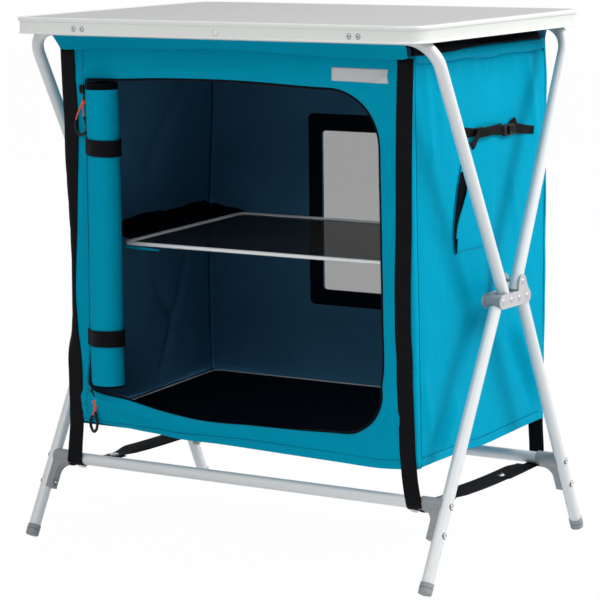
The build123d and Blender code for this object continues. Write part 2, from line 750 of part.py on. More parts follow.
# Roof cloth: a shallow tray turned over the side walls
roof_bottom = side_top + seam_gap
roof_top = top_bar_z - tube_radius - cloth
roof_front, roof_rear = front_wall_y(roof_bottom) + cloth, side_rear - roof_inset
with BuildPart() as roof_panel:
    with Locations((0, (roof_front + roof_rear) / 2, (roof_bottom + roof_top) / 2)):
        Box(2 * cabinet_half_width, roof_rear - roof_front, roof_top - roof_bottom)
    offset(amount=-sleeve_cloth, openings=roof_panel.faces().sort_by(Axis.Z)[0])
roof_panel.part.label = "roof_panel"
export_step(roof_panel.part, "parts/roof_panel.step")


def skirt(side, seam_y):
    """Cloth round an upper crossbar, hanging from its outer side to the seam at the top of the wall."""
    bar_y = side * top_bar_y
    sleeve_outer = sleeve_radius
    run, drop = seam_y - bar_y, top_bar_z - cabinet_top - seam_gap
    reach = hypot(run, drop)
    to_seam = atan2(-drop, run)
    touch = to_seam + side * (pi / 2 - atan2(sleeve_outer, (reach**2 - sleeve_outer**2) ** 0.5))
    touch_y, touch_z = bar_y + sleeve_outer * cos(touch), top_bar_z + sleeve_outer * sin(touch)
    inward_y, inward_z = -sleeve_cloth * cos(touch), -sleeve_cloth * sin(touch)
    seam_z = cabinet_top + seam_gap
    with BuildPart() as cloth_skirt:
        with BuildSketch(Plane(origin=(-skirt_half_width, 0, 0), x_dir=(0, 1, 0), z_dir=(1, 0, 0))):
            with Locations((bar_y, top_bar_z)):
                Circle(sleeve_outer)
            Polygon((touch_y, touch_z), (seam_y, seam_z), (seam_y + inward_y, seam_z + inward_z),
                    (touch_y + inward_y, touch_z + inward_z), align=None)
            with Locations((bar_y, top_bar_z)):
                Circle(tube_radius + fit_gap, mode=Mode.SUBTRACT)
        extrude(amount=2 * skirt_half_width)
    return cloth_skirt.part


front_skirt = skirt(-1, -front_top_y)
front_skirt.label = "front_skirt"
export_step(front_skirt, "parts/front_skirt.step")

rear_skirt = skirt(1, rear_wall_y)
rear_skirt.label = "rear_skirt"
export_step(rear_skirt, "parts/rear_skirt.step")


def sloped_plane(front_y, front_z, angle):
    """Plane of a shelf: local Y runs from its front edge to the rear, rising by the angle in degrees."""
    slope = radians(angle)
    return Plane(origin=(0, front_y, front_z), x_dir=(1, 0, 0), z_dir=(0, -sin(slope), cos(slope)))


def rod_loop(plane, half_width, depth, radius, corner):
    """Closed rod round a shelf. The given outline is its outside."""
    across, along = half_width - radius, depth - radius
    with BuildPart() as loop:
        with BuildLine(plane) as path:
            FilletPolyline((across, radius), (across, along), (-across, along), (-across, radius),
                           radius=corner, close=True)
        with BuildSketch(Plane(origin=path.line @ 0, z_dir=path.line % 0)):
            Circle(radius)
        sweep(path=path.line)
    return loop.part


def inner_sheet(plane, half_width, depth, radius, corner, thickness):
    """Flat sheet that fills a rod loop."""
    inset = 2 * radius + seam_gap
    with BuildPart() as sheet:
        with BuildSketch(plane):
            with Locations((0, depth / 2)):
                RectangleRounded(2 * (half_width - inset), depth - 2 * inset, corner - radius - seam_gap)
        extrude(amount=thickness / 2, both=True)
    return sheet.part


# Middle shelf: a rod loop with mesh, hung from the side walls by sloping cloth
shelf_plane = sloped_plane(shelf_front, shelf_front_z, shelf_angle)
shelf_frame = rod_loop(shelf_plane, shelf_half_width, shelf_depth, shelf_rod_radius, shelf_corner_radius)
shelf_frame.label = "middle_shelf_frame"
export_step(shelf_frame, "parts/middle_shelf_frame.step")

shelf_mesh = inner_sheet(shelf_plane, shelf_half_width, shelf_depth, shelf_rod_radius, shelf_corner_radius,
                         shelf_mesh_thickness)
shelf_mesh.label = "middle_shelf_mesh"
export_step(shelf_mesh, "parts/middle_shelf_mesh.step")

with BuildPart() as shelf_sling:
    for side in left_right:
        section = Plane(origin=shelf_plane.from_local_coords((0, shelf_corner_radius, 0)),
                        x_dir=(side, 0, 0), z_dir=shelf_plane.y_dir)
        upward = 1 if section.y_dir.Z > 0 else -1
        rod_side, wall_side = shelf_half_width + seam_gap, inner_half_width - seam_gap
        with BuildSketch(section):
            Polygon((rod_side, 0), (wall_side, upward * sling_rise),
                    (wall_side, upward * (sling_rise + sling_cloth)), (rod_side, upward * sling_cloth), align=None)
        extrude(amount=shelf_depth - 2 * shelf_corner_radius)
shelf_sling.part.label = "shelf_sling"
export_step(shelf_sling.part, "parts/shelf_sling.step")

# Floor board: a stiff sheet with a rod round it, lying on the sloping floor cloth
board_plane = sloped_plane(board_front, board_front_z, board_angle)
board_frame = rod_loop(board_plane, board_half_width, board_depth, board_rod_radius, board_corner_radius)
board_frame.label = "floor_board_frame"
export_step(board_frame, "parts/floor_board_frame.step")

floor_board = inner_sheet(board_plane, board_half_width, board_depth, board_rod_radius, board_corner_radius,
                          board_thickness)
floor_board.label = "floor_board"
export_step(floor_board, "parts/floor_board.step")

with BuildPart() as floor_panel:
    with BuildSketch(board_plane.offset(-board_rod_radius - seam_gap)):
        with Locations((0, board_depth / 2)):
            Rectangle(2 * (inner_half_width - seam_gap), board_depth + 2 * floor_overhang)
    extrude(amount=-cloth)
floor_panel.part.label = "floor_panel"
export_step(floor_panel.part, "parts/floor_panel.step")


def corner_straps(side, bar_y, wall_top_y, wall_bottom_y):
    """Pair of straps from a top seam down the wall, round under a lower crossbar and in along the depth."""
    wrap = tube_radius + strap_gap + webbing_thickness / 2
    under_z = lower_bar_z - wrap
    top = (wall_top_y + side * (strap_gap + webbing_thickness / 2), cabinet_top)
    hem = (wall_bottom_y + side * (strap_gap + webbing_thickness / 2), cabinet_bottom)
    outer, tail_end = bar_y + side * wrap, bar_y - side * strap_tail
    corners = [top, (outer, under_z), (tail_end, under_z)]
    radii = (wrap - strap_bend_slack,)
    if side * (hem[0] - outer) > strap_hem_step:
        corners.insert(1, hem)
        radii = (4 * wrap, wrap - strap_bend_slack)
    with BuildPart() as straps:
        for strap_side in left_right:
            start_x = strap_side * strap_x - webbing_width / 2
            with BuildSketch(Plane(origin=(start_x, 0, 0), x_dir=(0, 1, 0), z_dir=(1, 0, 0))):
                with BuildLine():
                    FilletPolyline(*corners, radius=radii)
                trace(line_width=webbing_thickness)
            extrude(amount=webbing_width)
            stud_y = depth_stud_y[0] if side < 0 else depth_stud_y[1]
            with Locations((strap_side * strap_x, stud_y, under_z)):
                Cylinder(stud_shank_radius + pin_clearance, 4 * webbing_thickness, mode=Mode.SUBTRACT)
    return straps.part


front_straps = corner_straps(-1, lower_front_bar_y, -front_top_y, -front_bottom_y)
front_straps.label = "front_straps"
export_step(front_straps, "parts/front_straps.step")

rear_straps = corner_straps(1, lower_rear_bar_y, rear_wall_y, rear_wall_y)
rear_straps.label = "rear_straps"
export_step(rear_straps, "parts/rear_straps.step")

# Straps along the depth, lying on the tails of the corner straps, and the press studs through both
under_front_z = lower_bar_z - tube_radius - strap_gap - webbing_thickness / 2
depth_z = under_front_z + webbing_thickness + strap_gap
depth_front, depth_rear = lower_front_bar_y + 2 * tube_radius, lower_rear_bar_y - 2 * tube_radius
with BuildPart() as depth_straps:
    for side in left_right:
        with Locations((side * strap_x, (depth_front + depth_rear) / 2, depth_z)):
            Box(webbing_width, depth_rear - depth_front, webbing_thickness)
        for y in depth_stud_y:
            with Locations((side * strap_x, y, depth_z)):
                Cylinder(stud_shank_radius + pin_clearance, 4 * webbing_thickness, mode=Mode.SUBTRACT)
depth_straps.part.label = "depth_straps"
export_step(depth_straps.part, "parts/depth_straps.step")

with BuildPart() as depth_strap_studs:
    layers_bottom = under_front_z - webbing_thickness / 2
    layers_top = depth_z + webbing_thickness / 2
    for side in left_right:
        for y in depth_stud_y:
            with BuildSketch(Plane(origin=(side * strap_x, y, layers_bottom - stud_height))):
                Circle(stud_radius)
            extrude(amount=stud_height)
            with BuildSketch(Plane(origin=(side * strap_x, y, layers_bottom))):
                Circle(stud_shank_radius)
            extrude(amount=layers_top - layers_bottom)
            with BuildSketch(Plane(origin=(side * strap_x, y, layers_top))):
                Circle(stud_radius)
            extrude(amount=stud_height)
depth_strap_studs.part.label = "depth_strap_studs"
export_step(depth_strap_studs.part, "parts/depth_strap_studs.step")

# Studs under the corner straps, where they turn round the lower crossbars
stud_top = layers_bottom - pin_clearance
for end_name, side, bar_y in (("front", -1, lower_front_bar_y), ("rear", 1, lower_rear_bar_y)):
    with BuildPart() as studs:
        with BuildSketch(Plane.XY.offset(stud_top)):
            with Locations(*[(strap_side * strap_x, bar_y - side * strap_stud_inset) for strap_side in left_right]):
                Circle(stud_radius)
        extrude(amount=-stud_height)
    studs.part.label = f"{end_name}_strap_studs"
    export_step(studs.part, f"parts/{end_name}_strap_studs.step")

# Strap, buckle and pocket on the outside of the right wall
wall_x = cabinet_half_width + seam_gap
with BuildPart() as side_strap:
    with Locations((wall_x + webbing_thickness / 2, (side_strap_front + side_strap_rear) / 2, side_strap_z)):
        Box(webbing_thickness, side_strap_rear - side_strap_front, side_strap_width)
side_strap.part.label = "side_strap"
export_step(side_strap.part, "parts/side_strap.step")

with BuildPart() as side_buckle:
    with Locations((wall_x + webbing_thickness + seam_gap + buckle_size[0] / 2, buckle_y, side_strap_z)):
        Box(*buckle_size)
    fillet(side_buckle.edges().filter_by(Axis.X), buckle_corner)
side_buckle.part.label = "side_buckle"
export_step(side_buckle.part, "parts/side_buckle.step")

with BuildPart() as side_pocket:
    with Locations((wall_x + pocket_thickness / 2, sum(pocket_y) / 2, pocket_top - pocket_height / 2)):
        Box(pocket_thickness, pocket_y[1] - pocket_y[0], pocket_height)
side_pocket.part.label = "side_pocket"
export_step(side_pocket.part, "parts/side_pocket.step")
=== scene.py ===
# Folding camping cupboard, dressed over its CAD model.
# Shapes are written in millimetres and made in metres. Front is -Y, right is +X, up is +Z.
from math import cos, dist, exp, hypot, pi, radians, sin, tan

import bpy
import numpy as np
from mathutils import Matrix, Vector, noise


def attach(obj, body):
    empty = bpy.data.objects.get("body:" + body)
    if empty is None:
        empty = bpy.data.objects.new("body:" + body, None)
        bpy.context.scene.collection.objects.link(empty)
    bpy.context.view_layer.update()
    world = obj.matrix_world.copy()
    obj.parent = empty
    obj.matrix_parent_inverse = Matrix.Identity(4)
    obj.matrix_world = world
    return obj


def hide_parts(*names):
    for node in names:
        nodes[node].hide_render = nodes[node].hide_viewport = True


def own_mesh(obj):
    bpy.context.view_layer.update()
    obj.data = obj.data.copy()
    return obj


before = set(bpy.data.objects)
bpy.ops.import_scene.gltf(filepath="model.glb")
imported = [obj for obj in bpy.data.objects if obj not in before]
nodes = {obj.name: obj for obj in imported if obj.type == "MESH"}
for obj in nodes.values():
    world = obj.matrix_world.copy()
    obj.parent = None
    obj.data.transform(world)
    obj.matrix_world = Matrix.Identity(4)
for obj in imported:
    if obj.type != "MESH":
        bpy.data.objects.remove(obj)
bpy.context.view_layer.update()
MM = 0.001


# Camera, lights and floor

def link(name, data):
    """New object in the scene."""
    made = bpy.data.objects.new(name, data)
    bpy.context.collection.objects.link(made)
    return made


def make_camera():
    """Camera at the photograph's viewpoint."""
    yaw, pitch, roll = 0.574237, 0.157013, -0.012537
    place = (2.238868, -3.466100, 1.017344)
    ahead = Vector((-sin(yaw) * cos(pitch), cos(yaw) * cos(pitch), -sin(pitch)))
    right = Vector((cos(yaw), sin(yaw), 0))
    up = right.cross(ahead)
    x_axis = cos(roll) * right + sin(roll) * up
    y_axis = cos(roll) * up - sin(roll) * right
    data = bpy.data.cameras.new("camera")
    data.lens, data.sensor_width = 164.53, 36
    data.clip_start, data.clip_end = 0.1, 60
    camera = link("camera", data)
    rows = [(x_axis[i], y_axis[i], -ahead[i], place[i]) for i in range(3)]
    camera.matrix_world = Matrix(rows + [(0, 0, 0, 1)])
    bpy.context.scene.camera = camera
    bpy.context.scene.view_settings.view_transform = "Standard"


def make_lamp(name, place, target, size, power):
    """Soft rectangular lamp aimed at a point."""
    data = bpy.data.lights.new(name, "AREA")
    data.shape, data.size, data.size_y, data.energy = "RECTANGLE", size[0], size[1], power
    lamp = link(name, data)
    lamp.location = place
    lamp.rotation_mode = "QUATERNION"
    lamp.rotation_quaternion = (Vector(target) - Vector(place)).to_track_quat("-Z", "Y")


def add_node(tree, kind, settings=None, **inputs):
    """New shader node. An input gets a plain value or a link from a socket, and _0 is the first input."""
    made = tree.nodes.new("ShaderNode" + kind)
    for key, value in (settings or {}).items():
        setattr(made, key, value)
    for key, value in inputs.items():
        socket = made.inputs[int(key[1:])] if key[0] == "_" else made.inputs[key.replace("_", " ")]
        if isinstance(value, bpy.types.NodeSocket):
            tree.links.new(value, socket)
        else:
            socket.default_value = value
    return made


def mix_by_ray(owner, output, other, seen, share=1.0):
    """Give a world or material one shader where rays see it directly, by a share, and another for other light.

    Directly means by camera, glossy and transmission rays. A shader is a node's kind with its inputs."""
    owner.use_nodes = True
    tree = owner.node_tree
    tree.nodes.clear()
    path = add_node(tree, "LightPath").outputs
    total = path["Is Camera Ray"]
    for name in ("Is Glossy Ray", "Is Transmission Ray"):
        total = add_node(tree, "Math", {"operation": "MAXIMUM"}, _0=total, _1=path[name]).outputs[0]
    if share < 1:
        total = add_node(tree, "Math", {"operation": "MULTIPLY"}, _0=total, _1=share).outputs[0]
    first, second = (add_node(tree, kind, None, **inputs).outputs[0] for kind, inputs in (other, seen))
    add_node(tree, output, Surface=add_node(tree, "MixShader", Fac=total, _1=first, _2=second).outputs[0])


def make_surroundings():
    """Plain studio: pale surroundings, soft lamps and a pale floor that keeps a faint shadow."""
    white = {"Color": (1, 1, 1, 1), "Strength": 1}
    world = bpy.context.scene.world = bpy.data.worlds.new("studio")
    mix_by_ray(world, "OutputWorld", ("Background", {"Color": (0.97, 0.985, 1, 1), "Strength": 0.36}),
               ("Background", white))

    make_lamp("key", (2.7, 1.1, 2.8), (0.1, 0, 0.45), (1.8, 1.8), 100)
    make_lamp("fill", (0.1, -2.3, 2.3), (0, -0.2, 0.5), (2.0, 1.6), 18.5)
    make_lamp("top", (0.4, 0.2, 3.4), (0, 0, 0.7), (2.4, 2.4), 3)
    make_lamp("back", (0.8, 3.4, 2.0), (0, 0.2, 0.4), (2.4, 2.0), 10)

    mesh = bpy.data.meshes.new("floor")
    mesh.from_pydata([(-9, -9, 0), (9, -9, 0), (9, 9, 0), (-9, 9, 0)], [], [(0, 1, 2, 3)])
    floor = link("floor", mesh)
    floor.location.z = -0.0004
    material = bpy.data.materials.new("pale_floor")
    matt = ("BsdfDiffuse", {"Color": (0.9, 0.9, 0.9, 1)})
    mix_by_ray(material, "OutputMaterial", matt, ("Emission", white), 0.985)
    mesh.materials.append(material)


# Materials

def linear(red, green, blue):
    """Linear colour of an sRGB one given from 0 to 255."""
    channels = (v / 255 for v in (red, green, blue))
    return tuple(v / 12.92 if v <= 10 / 255 else ((v + 0.055) / 1.055) ** 2.4 for v in channels) + (1,)


def shades(colour, low, high):
    return [tuple(v * factor for v in colour[:3]) + (1,) for factor in (low, high)]


class Finish:
    """A material under construction, with short ways to add nodes."""

    def __init__(self, name, **sockets):
        self.material = bpy.data.materials.new(name)
        self.material.use_nodes = True
        self.tree = self.material.node_tree
        self.shader = self.tree.nodes["Principled BSDF"].inputs
        self.coords = add_node(self.tree, "TexCoord").outputs
        self.normal = {}
        for key, value in sockets.items():
            self.shader[key.replace("_", " ")].default_value = value

    def math(self, operation, first, second):
        return add_node(self.tree, "Math", {"operation": operation}, _0=first, _1=second).outputs[0]

    def blend(self, first, second, share):
        """Sum of two values, the second with the given share."""
        return self.math("ADD", self.math("MULTIPLY", first, 1 - share), self.math("MULTIPLY", second, share))

    def spread(self, value, low, high):
        """Map a 0 to 1 value onto low to high."""
        return add_node(self.tree, "MapRange", Value=value, To_Min=low, To_Max=high).outputs[0]

    def noise(self, where, scale, detail=3.0, rough=0.55):
        return add_node(self.tree, "TexNoise", Vector=self.coords[where], Scale=scale, Detail=detail,
                        Roughness=rough).outputs["Fac"]

    def bands(self, where, direction, pitch, wobble=0.0, detail=(1.0, 2.0)):
        """Sine bands with the given pitch, in the units of the coordinates."""
        return add_node(self.tree, "TexWave",
                        {"wave_type": "BANDS", "bands_direction": direction, "wave_profile": "SIN"},
                        Vector=self.coords[where], Scale=pi / 10 / pitch, Distortion=wobble,
                        Detail=detail[0], Detail_Scale=detail[1]).outputs["Fac"]

    def tint(self, colours, value):
        """Base colour between two colours by a 0 to 1 value."""
        mix = add_node(self.tree, "Mix", {"data_type": "RGBA"}, Factor=value, _6=colours[0], _7=colours[1])
        self.tree.links.new(mix.outputs[2], self.shader["Base Color"])

    def bump(self, height, distance, strength):
        normal = add_node(self.tree, "Bump", Height=height, Distance=distance, Strength=strength,
                          **self.normal)
        self.normal = {"Normal": normal.outputs["Normal"]}
        self.tree.links.new(normal.outputs["Normal"], self.shader["Normal"])


def cloth_finish(name, colour, rough, thread=1.0, mottle=0.07, where="UV", unit=1.0):
    """Coated plain-weave cloth, in UV millimetres or, with a unit of 1000, in the object's own metres."""
    f = Finish(name, Roughness=rough, Specular_IOR_Level=0.02)
    weave = f.blend(*(f.bands(where, direction, thread / unit, 0.6) for direction in "XY"), 0.5)
    f.tint(shades(colour, 1 - mottle, 1 + mottle), f.blend(f.noise(where, 0.012 * unit), weave, 0.2))
    f.bump(f.noise(where, 0.022 * unit, 4.0, 0.6), 0.0028, 0.55)
    f.bump(f.noise(where, 0.09 * unit, 3.0, 0.5), 0.0006, 0.5)
    f.bump(weave, 0.00012, 0.6)
    return f.material


def webbing_finish(name, colour, rib=3.4, contrast=0.35):
    """Flat woven webbing: ribs across its length and a fine herringbone."""
    f = Finish(name, Roughness=0.62, Specular_IOR_Level=0.06)
    ribs = f.bands("UV", "Y", rib, 0.3)
    f.tint(shades(colour, 1 - contrast, 1 + contrast), ribs)
    f.bump(ribs, 0.0005, 0.8)
    f.bump(f.bands("UV", "DIAGONAL", 0.9, 0.5, (2.0, 1.0)), 0.00012, 0.6)
    return f.material


def metal_finish(name, colour, rough, metallic=1.0, grain=0.06):
    """Satin metal with a fine drawn grain and slight unevenness."""
    f = Finish(name, Metallic=metallic, Specular_IOR_Level=0.5)
    drawn = add_node(f.tree, "Mapping", Vector=f.coords["Object"], Scale=(60, 60, 900)).outputs[0]
    streaks = add_node(f.tree, "TexNoise", Vector=drawn, Scale=1.0, Detail=2.0).outputs["Fac"]
    f.tint(shades(colour, 1 - grain, 1 + grain), f.noise("Object", 14.0))
    f.tree.links.new(f.spread(streaks, rough - 0.05, rough + 0.07), f.shader["Roughness"])
    f.bump(streaks, 0.00002, 0.4)
    f.bump(f.noise("Object", 220.0, 2.0), 0.00002, 0.5)
    return f.material


def plastic_finish(name, colour, rough, gloss=0.45):
    """Moulded plastic with a fine spark-eroded grain."""
    f = Finish(name, Roughness=rough, Specular_IOR_Level=gloss)
    f.tint(shades(colour, 0.92, 1.08), f.noise("Object", 30.0))
    f.bump(f.noise("Object", 900.0, 2.0), 0.00005, 0.6)
    return f.material


def laminate_finish():
    """Pale grey laminate: fine speckle and a slight orange-peel surface."""
    f = Finish("laminate", Roughness=0.5, Specular_IOR_Level=0.3)
    speck = add_node(f.tree, "MapRange", Value=f.noise("Object", 520.0, 2.0, 0.7), From_Min=0.42, From_Max=0.6)
    cloud = f.noise("Object", 6.0)
    f.tint((linear(177, 178, 178), linear(190, 190, 189)), f.blend(speck.outputs[0], cloud, 0.3))
    f.bump(f.noise("Object", 300.0, 2.0), 0.00004, 0.5)
    return f.material


def net_finish(name, colour, cover, hole=1.4):
    """Fine knitted net: threads with small gaps that let the background through."""
    f = Finish(name, Roughness=0.8, Specular_IOR_Level=0.2)
    threads = f.math("MAXIMUM", *(f.bands("UV", direction, hole) for direction in "XY"))
    f.tint(shades(colour, 0.8, 1.2), f.noise("UV", 0.15, 2.0))
    f.tree.links.new(f.spread(threads, max(0.0, cover - 0.35), min(1.0, cover + 0.18)), f.shader["Alpha"])
    f.bump(threads, 0.0002, 0.7)
    return f.material


def thread_finish(name, colour, pitch):
    """Twisted or braided cord."""
    f = Finish(name, Roughness=0.6, Sheen_Weight=0.2)
    twist = f.bands("Object", "DIAGONAL", pitch, 0.8, (2.0, 1.0))
    f.tint(shades(colour, 0.75, 1.12), twist)
    f.bump(twist, 0.00025, 0.8)
    return f.material


# Cloth on pieces without a flat pattern takes its weave from the object's own coordinates, in metres.
IN_SPACE = {"where": "Object", "unit": 1000}
FINISH = {
    "blue": cloth_finish("blue_cloth", linear(0, 160, 194), 0.6),
    "navy": cloth_finish("cloth_back", linear(68, 122, 158), 0.5, mottle=0.2),
    "black_cloth": cloth_finish("black_cloth", linear(9, 11, 17), 0.6),
    "patch": cloth_finish("patch_cloth", linear(214, 217, 219), 0.6, thread=0.6, mottle=0.03),
    "board": cloth_finish("board_cover", linear(6, 12, 22), 0.55, mottle=0.15, **IN_SPACE),
    # Seam lines get a darker blue than the cloth: painted shade of the creases along real raised seams.
    "seam": cloth_finish("seam_shade", linear(0, 116, 150), 0.8, mottle=0.05, **IN_SPACE),
    "webbing": webbing_finish("webbing", linear(17, 17, 20)),
    "binding": webbing_finish("binding", linear(6, 14, 26), rib=1.6, contrast=0.2),
    "tube": metal_finish("tube_aluminium", linear(230, 232, 233), 0.46, 0.15, 0.02),
    "rim": metal_finish("rim_aluminium", linear(228, 230, 226), 0.42, 0.3, 0.02),
    "steel": metal_finish("bracket_steel", linear(186, 188, 190), 0.38, 0.8),
    "plate": metal_finish("plate_steel", linear(200, 200, 202), 0.42, 0.5),
    "bright": metal_finish("bright_steel", linear(196, 197, 200), 0.28, 0.9, 0.03),
    "rod": metal_finish("coated_rod", linear(246, 248, 249), 0.35, 0.1, 0.02),
    "grey": plastic_finish("grey_plastic", linear(152, 157, 160), 0.45),
    "dark_grey": plastic_finish("dark_grey_plastic", linear(74, 76, 80), 0.5),
    "black": plastic_finish("black_plastic", linear(12, 12, 14), 0.4, 0.2),
    "laminate": laminate_finish(),
    "window_net": net_finish("window_net", linear(108, 112, 118), 0.66),
    "shelf_net": net_finish("shelf_net", linear(8, 14, 22), 0.86, 1.8),
    "orange": thread_finish("orange_cord", linear(246, 96, 52), 0.0022),
    "stitch": thread_finish("sewing_thread", linear(0, 128, 160), 0.0008),
    "patch_thread": thread_finish("patch_thread", linear(196, 200, 203), 0.0008),
}


# Shapes

def steps(low, high, count):
    return [low + (high - low) * i / (count - 1) for i in range(count)]


def between(a, b, t):
    return tuple(p + (q - p) * t for p, q in zip(a, b))


def lengths(path):
    """Length along a path at each of its points."""
    runs = [0.0]
    for a, b in zip(path, path[1:]):
        runs.append(runs[-1] + dist(a, b))
    return runs


def arc_steps(centre, radius, first, last, count):
    return [(centre[0] + radius * cos(radians(a)), centre[1] + radius * sin(radians(a)))
            for a in steps(first, last, count)]


def circle(centre, side, other, radius, sides):
    """Points round a centre, in the plane of two directions."""
    turns = [2 * pi * k / sides for k in range(sides)]
    return [tuple(Vector(centre) + side * radius * cos(a) + other * radius * sin(a)) for a in turns]


# How cloth would flatten towards the front wall as the frames close: the share of its depth that it keeps,
# and from where. Only keep is read here, and it gives a piece a mesh of its own.
BACK = {"keep": 0.065}
FRONT_STRAP = {"keep": 0.04, "anchor": -0.1915}
DOOR_ROLL = {"keep": 0.08, "anchor": -0.186}


class Shape:
    """Points and faces of one piece, in millimetres, with a UV place in millimetres for each point."""

    def __init__(self):
        self.points, self.faces, self.slots, self.flat = [], [], [], []

    def add(self, points, faces, slot=0, flat=None):
        base = len(self.points)
        self.points += points
        self.flat += flat or [(p[0] + p[1], p[2]) for p in points]
        self.faces += [tuple(base + i for i in face) for face in faces]
        self.slots += [slot] * len(faces)

    def grid(self, rows, slot=0, flat=None, loop=False, ring=False, flip=False):
        """Quads between rows of points. loop closes each row on itself, ring closes the rows."""
        height, width = len(rows), len(rows[0])
        faces = []
        for i in range(height if ring else height - 1):
            for j in range(width if loop else width - 1):
                below, above, k = i * width, (i + 1) % height * width, (j + 1) % width
                face = (below + j, below + k, above + k, above + j)
                faces.append((face[0],) + face[:0:-1] if flip else face)
        self.add([p for row in rows for p in row], faces, slot, flat and [q for row in flat for q in row])

    def sheet(self, rows, thickness, flat, slots=(0, 0, 0), loop=False):
        """Cloth of real thickness. Rows give its outer face, and it is thickened away from their normal."""
        outer = np.array(rows, float)
        height, width = outer.shape[:2]
        side = np.roll(outer, -1, axis=1) - np.roll(outer, 1, axis=1) if loop else np.gradient(outer, axis=1)
        normal = np.cross(side, np.gradient(outer, axis=0))
        normal /= np.maximum(np.linalg.norm(normal, axis=2, keepdims=True), 1e-9)
        base, count, top = len(self.points), height * width, (height - 1) * width
        self.grid(outer.tolist(), slots[0], flat, loop)
        self.grid((outer - normal * thickness).tolist(), slots[1], flat, loop, flip=True)
        edges = []
        for j in range(width if loop else width - 1):
            k = (j + 1) % width
            edges += [(k, j), (top + j, top + k)]
        if not loop:
            for a in range(0, top, width):
                edges += [(a, a + width), (a + 2 * width - 1, a + width - 1)]
        self.faces += [(base + a, base + b, base + count + b, base + count + a) for a, b in edges]
        self.slots += [slots[2]] * len(edges)

    def bar(self, rows, slot, flat, flip=False):
        """Looped rows, closed at both ends."""
        base, sides = len(self.points), len(rows[0])
        self.grid(rows, slot, flat, loop=True, flip=flip)
        first = tuple(range(base, base + sides))
        last = tuple(range(len(self.points) - sides, len(self.points)))
        self.faces += [first, last[::-1]] if flip else [first[::-1], last]
        self.slots += [slot, slot]

    def lathe(self, profile, origin, axis, sides=20, slot=0):
        """Turned form: profile is (radius, height) along the axis."""
        axis = Vector(axis).normalized()
        side = axis.orthogonal().normalized()
        self.grid([circle(Vector(origin) + axis * height, side, axis.cross(side), max(radius, 0.001), sides)
                   for radius, height in profile], slot, loop=True)

    def tube(self, path, radius, sides=10, slot=0, ends=True):
        """Round bar along a path, with one radius or a list with one for each point."""
        path = [Vector(p) for p in path]
        rows, flat, side = [], [], None
        for i, (point, run) in enumerate(zip(path, lengths(path))):
            ahead = (path[min(i + 1, len(path) - 1)] - path[max(i - 1, 0)]).normalized()
            side = ahead.orthogonal().normalized() if side is None else side
            side = (side - ahead * side.dot(ahead)).normalized()
            r = radius[i] if isinstance(radius, list) else radius
            rows.append(circle(point, side, ahead.cross(side), r, sides))
            flat.append([(2 * pi * r * k / sides, run) for k in range(sides)])
        if ends:
            self.bar(rows, slot, flat)
        else:
            self.grid(rows, slot, flat, loop=True)

    def ribbon(self, path, widths, normals, half_width, thickness):
        """Flat strap along a path, with slightly rounded edges."""
        wide, half = half_width, thickness / 2
        outline = [(-wide, -half * 0.4), (-wide + half, -half), (-wide * 0.4, -half)]
        outline += [(-u, v) for u, v in outline[::-1]]
        outline += [(-u, -v) for u, v in outline]
        rows, flat = [], []
        for point, across, face, run in zip(path, widths, normals, lengths(path)):
            across, face = Vector(across).normalized(), Vector(face).normalized()
            rows.append([tuple(Vector(point) + across * u + face * v) for u, v in outline])
            flat.append([(u, run) for u, v in outline])
        self.bar(rows, 0, flat, flip=True)

    def make(self, name, replaces, finishes, slot=None, body="cabinet", keep=None, anchor=-0.182, smooth=True):
        """The piece as a mesh on a body. A keep gives it a mesh of its own. anchor is not used."""
        mesh = bpy.data.meshes.new(name)
        mesh.from_pydata([(x * MM, y * MM, z * MM) for x, y, z in self.points], [], self.faces)
        corners = np.empty(len(mesh.loops), np.int32)
        mesh.loops.foreach_get("vertex_index", corners)
        flat = np.array(self.flat, np.float32)[corners]
        mesh.uv_layers.new(name="flat").data.foreach_set("uv", flat.ravel())
        for finish in finishes.split():
            mesh.materials.append(FINISH[finish])
        mesh.polygons.foreach_set("material_index", self.slots)
        mesh.polygons.foreach_set("use_smooth", [smooth] * len(mesh.polygons))
        mesh.update()
        piece = link(name, mesh)
        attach(piece, body)
        if replaces:
            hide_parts(*replaces.split())
        if keep:
            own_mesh(piece)
        return piece


def spline(*knots):
    """Smooth function through (place, value) pairs."""
    xs, ys = zip(*knots)
    last = len(xs) - 1
    slopes = [(ys[min(i + 1, last)] - ys[max(i - 1, 0)]) / (xs[min(i + 1, last)] - xs[max(i - 1, 0)])
              for i in range(last + 1)]

    def value(x):
        x = min(max(x, xs[0]), xs[-1])
        i = max(k for k in range(last) if xs[k] <= x)
        h = xs[i + 1] - xs[i]
        t = (x - xs[i]) / h
        return ((2 * t**3 - 3 * t**2 + 1) * ys[i] + (t**3 - 2 * t**2 + t) * h * slopes[i]
                + (3 * t**2 - 2 * t**3) * ys[i + 1] + (t**3 - t**2) * h * slopes[i + 1])
    return value


def rise(x, low, high):
    """Smooth step from 0 at low to 1 at high."""
    t = min(1.0, max(0.0, (x - low) / (high - low)))
    return t * t * (3 - 2 * t)


def hill(x, middle, width):
    """Smooth bump of height 1."""
    return exp(-((x - middle) / width) ** 2)


def ripple(u, v, scale, seed=0.0):
    """Smooth unevenness from about -1 to 1."""
    return noise.noise(Vector((u / scale + seed * 7.31, v / scale - seed * 3.17, seed)))


def fold(u, v, start, end, width, height):
    """Ridge of cloth along a segment, fading at its ends."""
    du, dv = end[0] - start[0], end[1] - start[1]
    length = hypot(du, dv)
    along = ((u - start[0]) * du + (v - start[1]) * dv) / length
    off = ((u - start[0]) * dv - (v - start[1]) * du) / length
    ends = rise(along, -width, width * 2) * (1 - rise(along, length - width * 2, length + width))
    return height * hill(off, 0, width) * ends


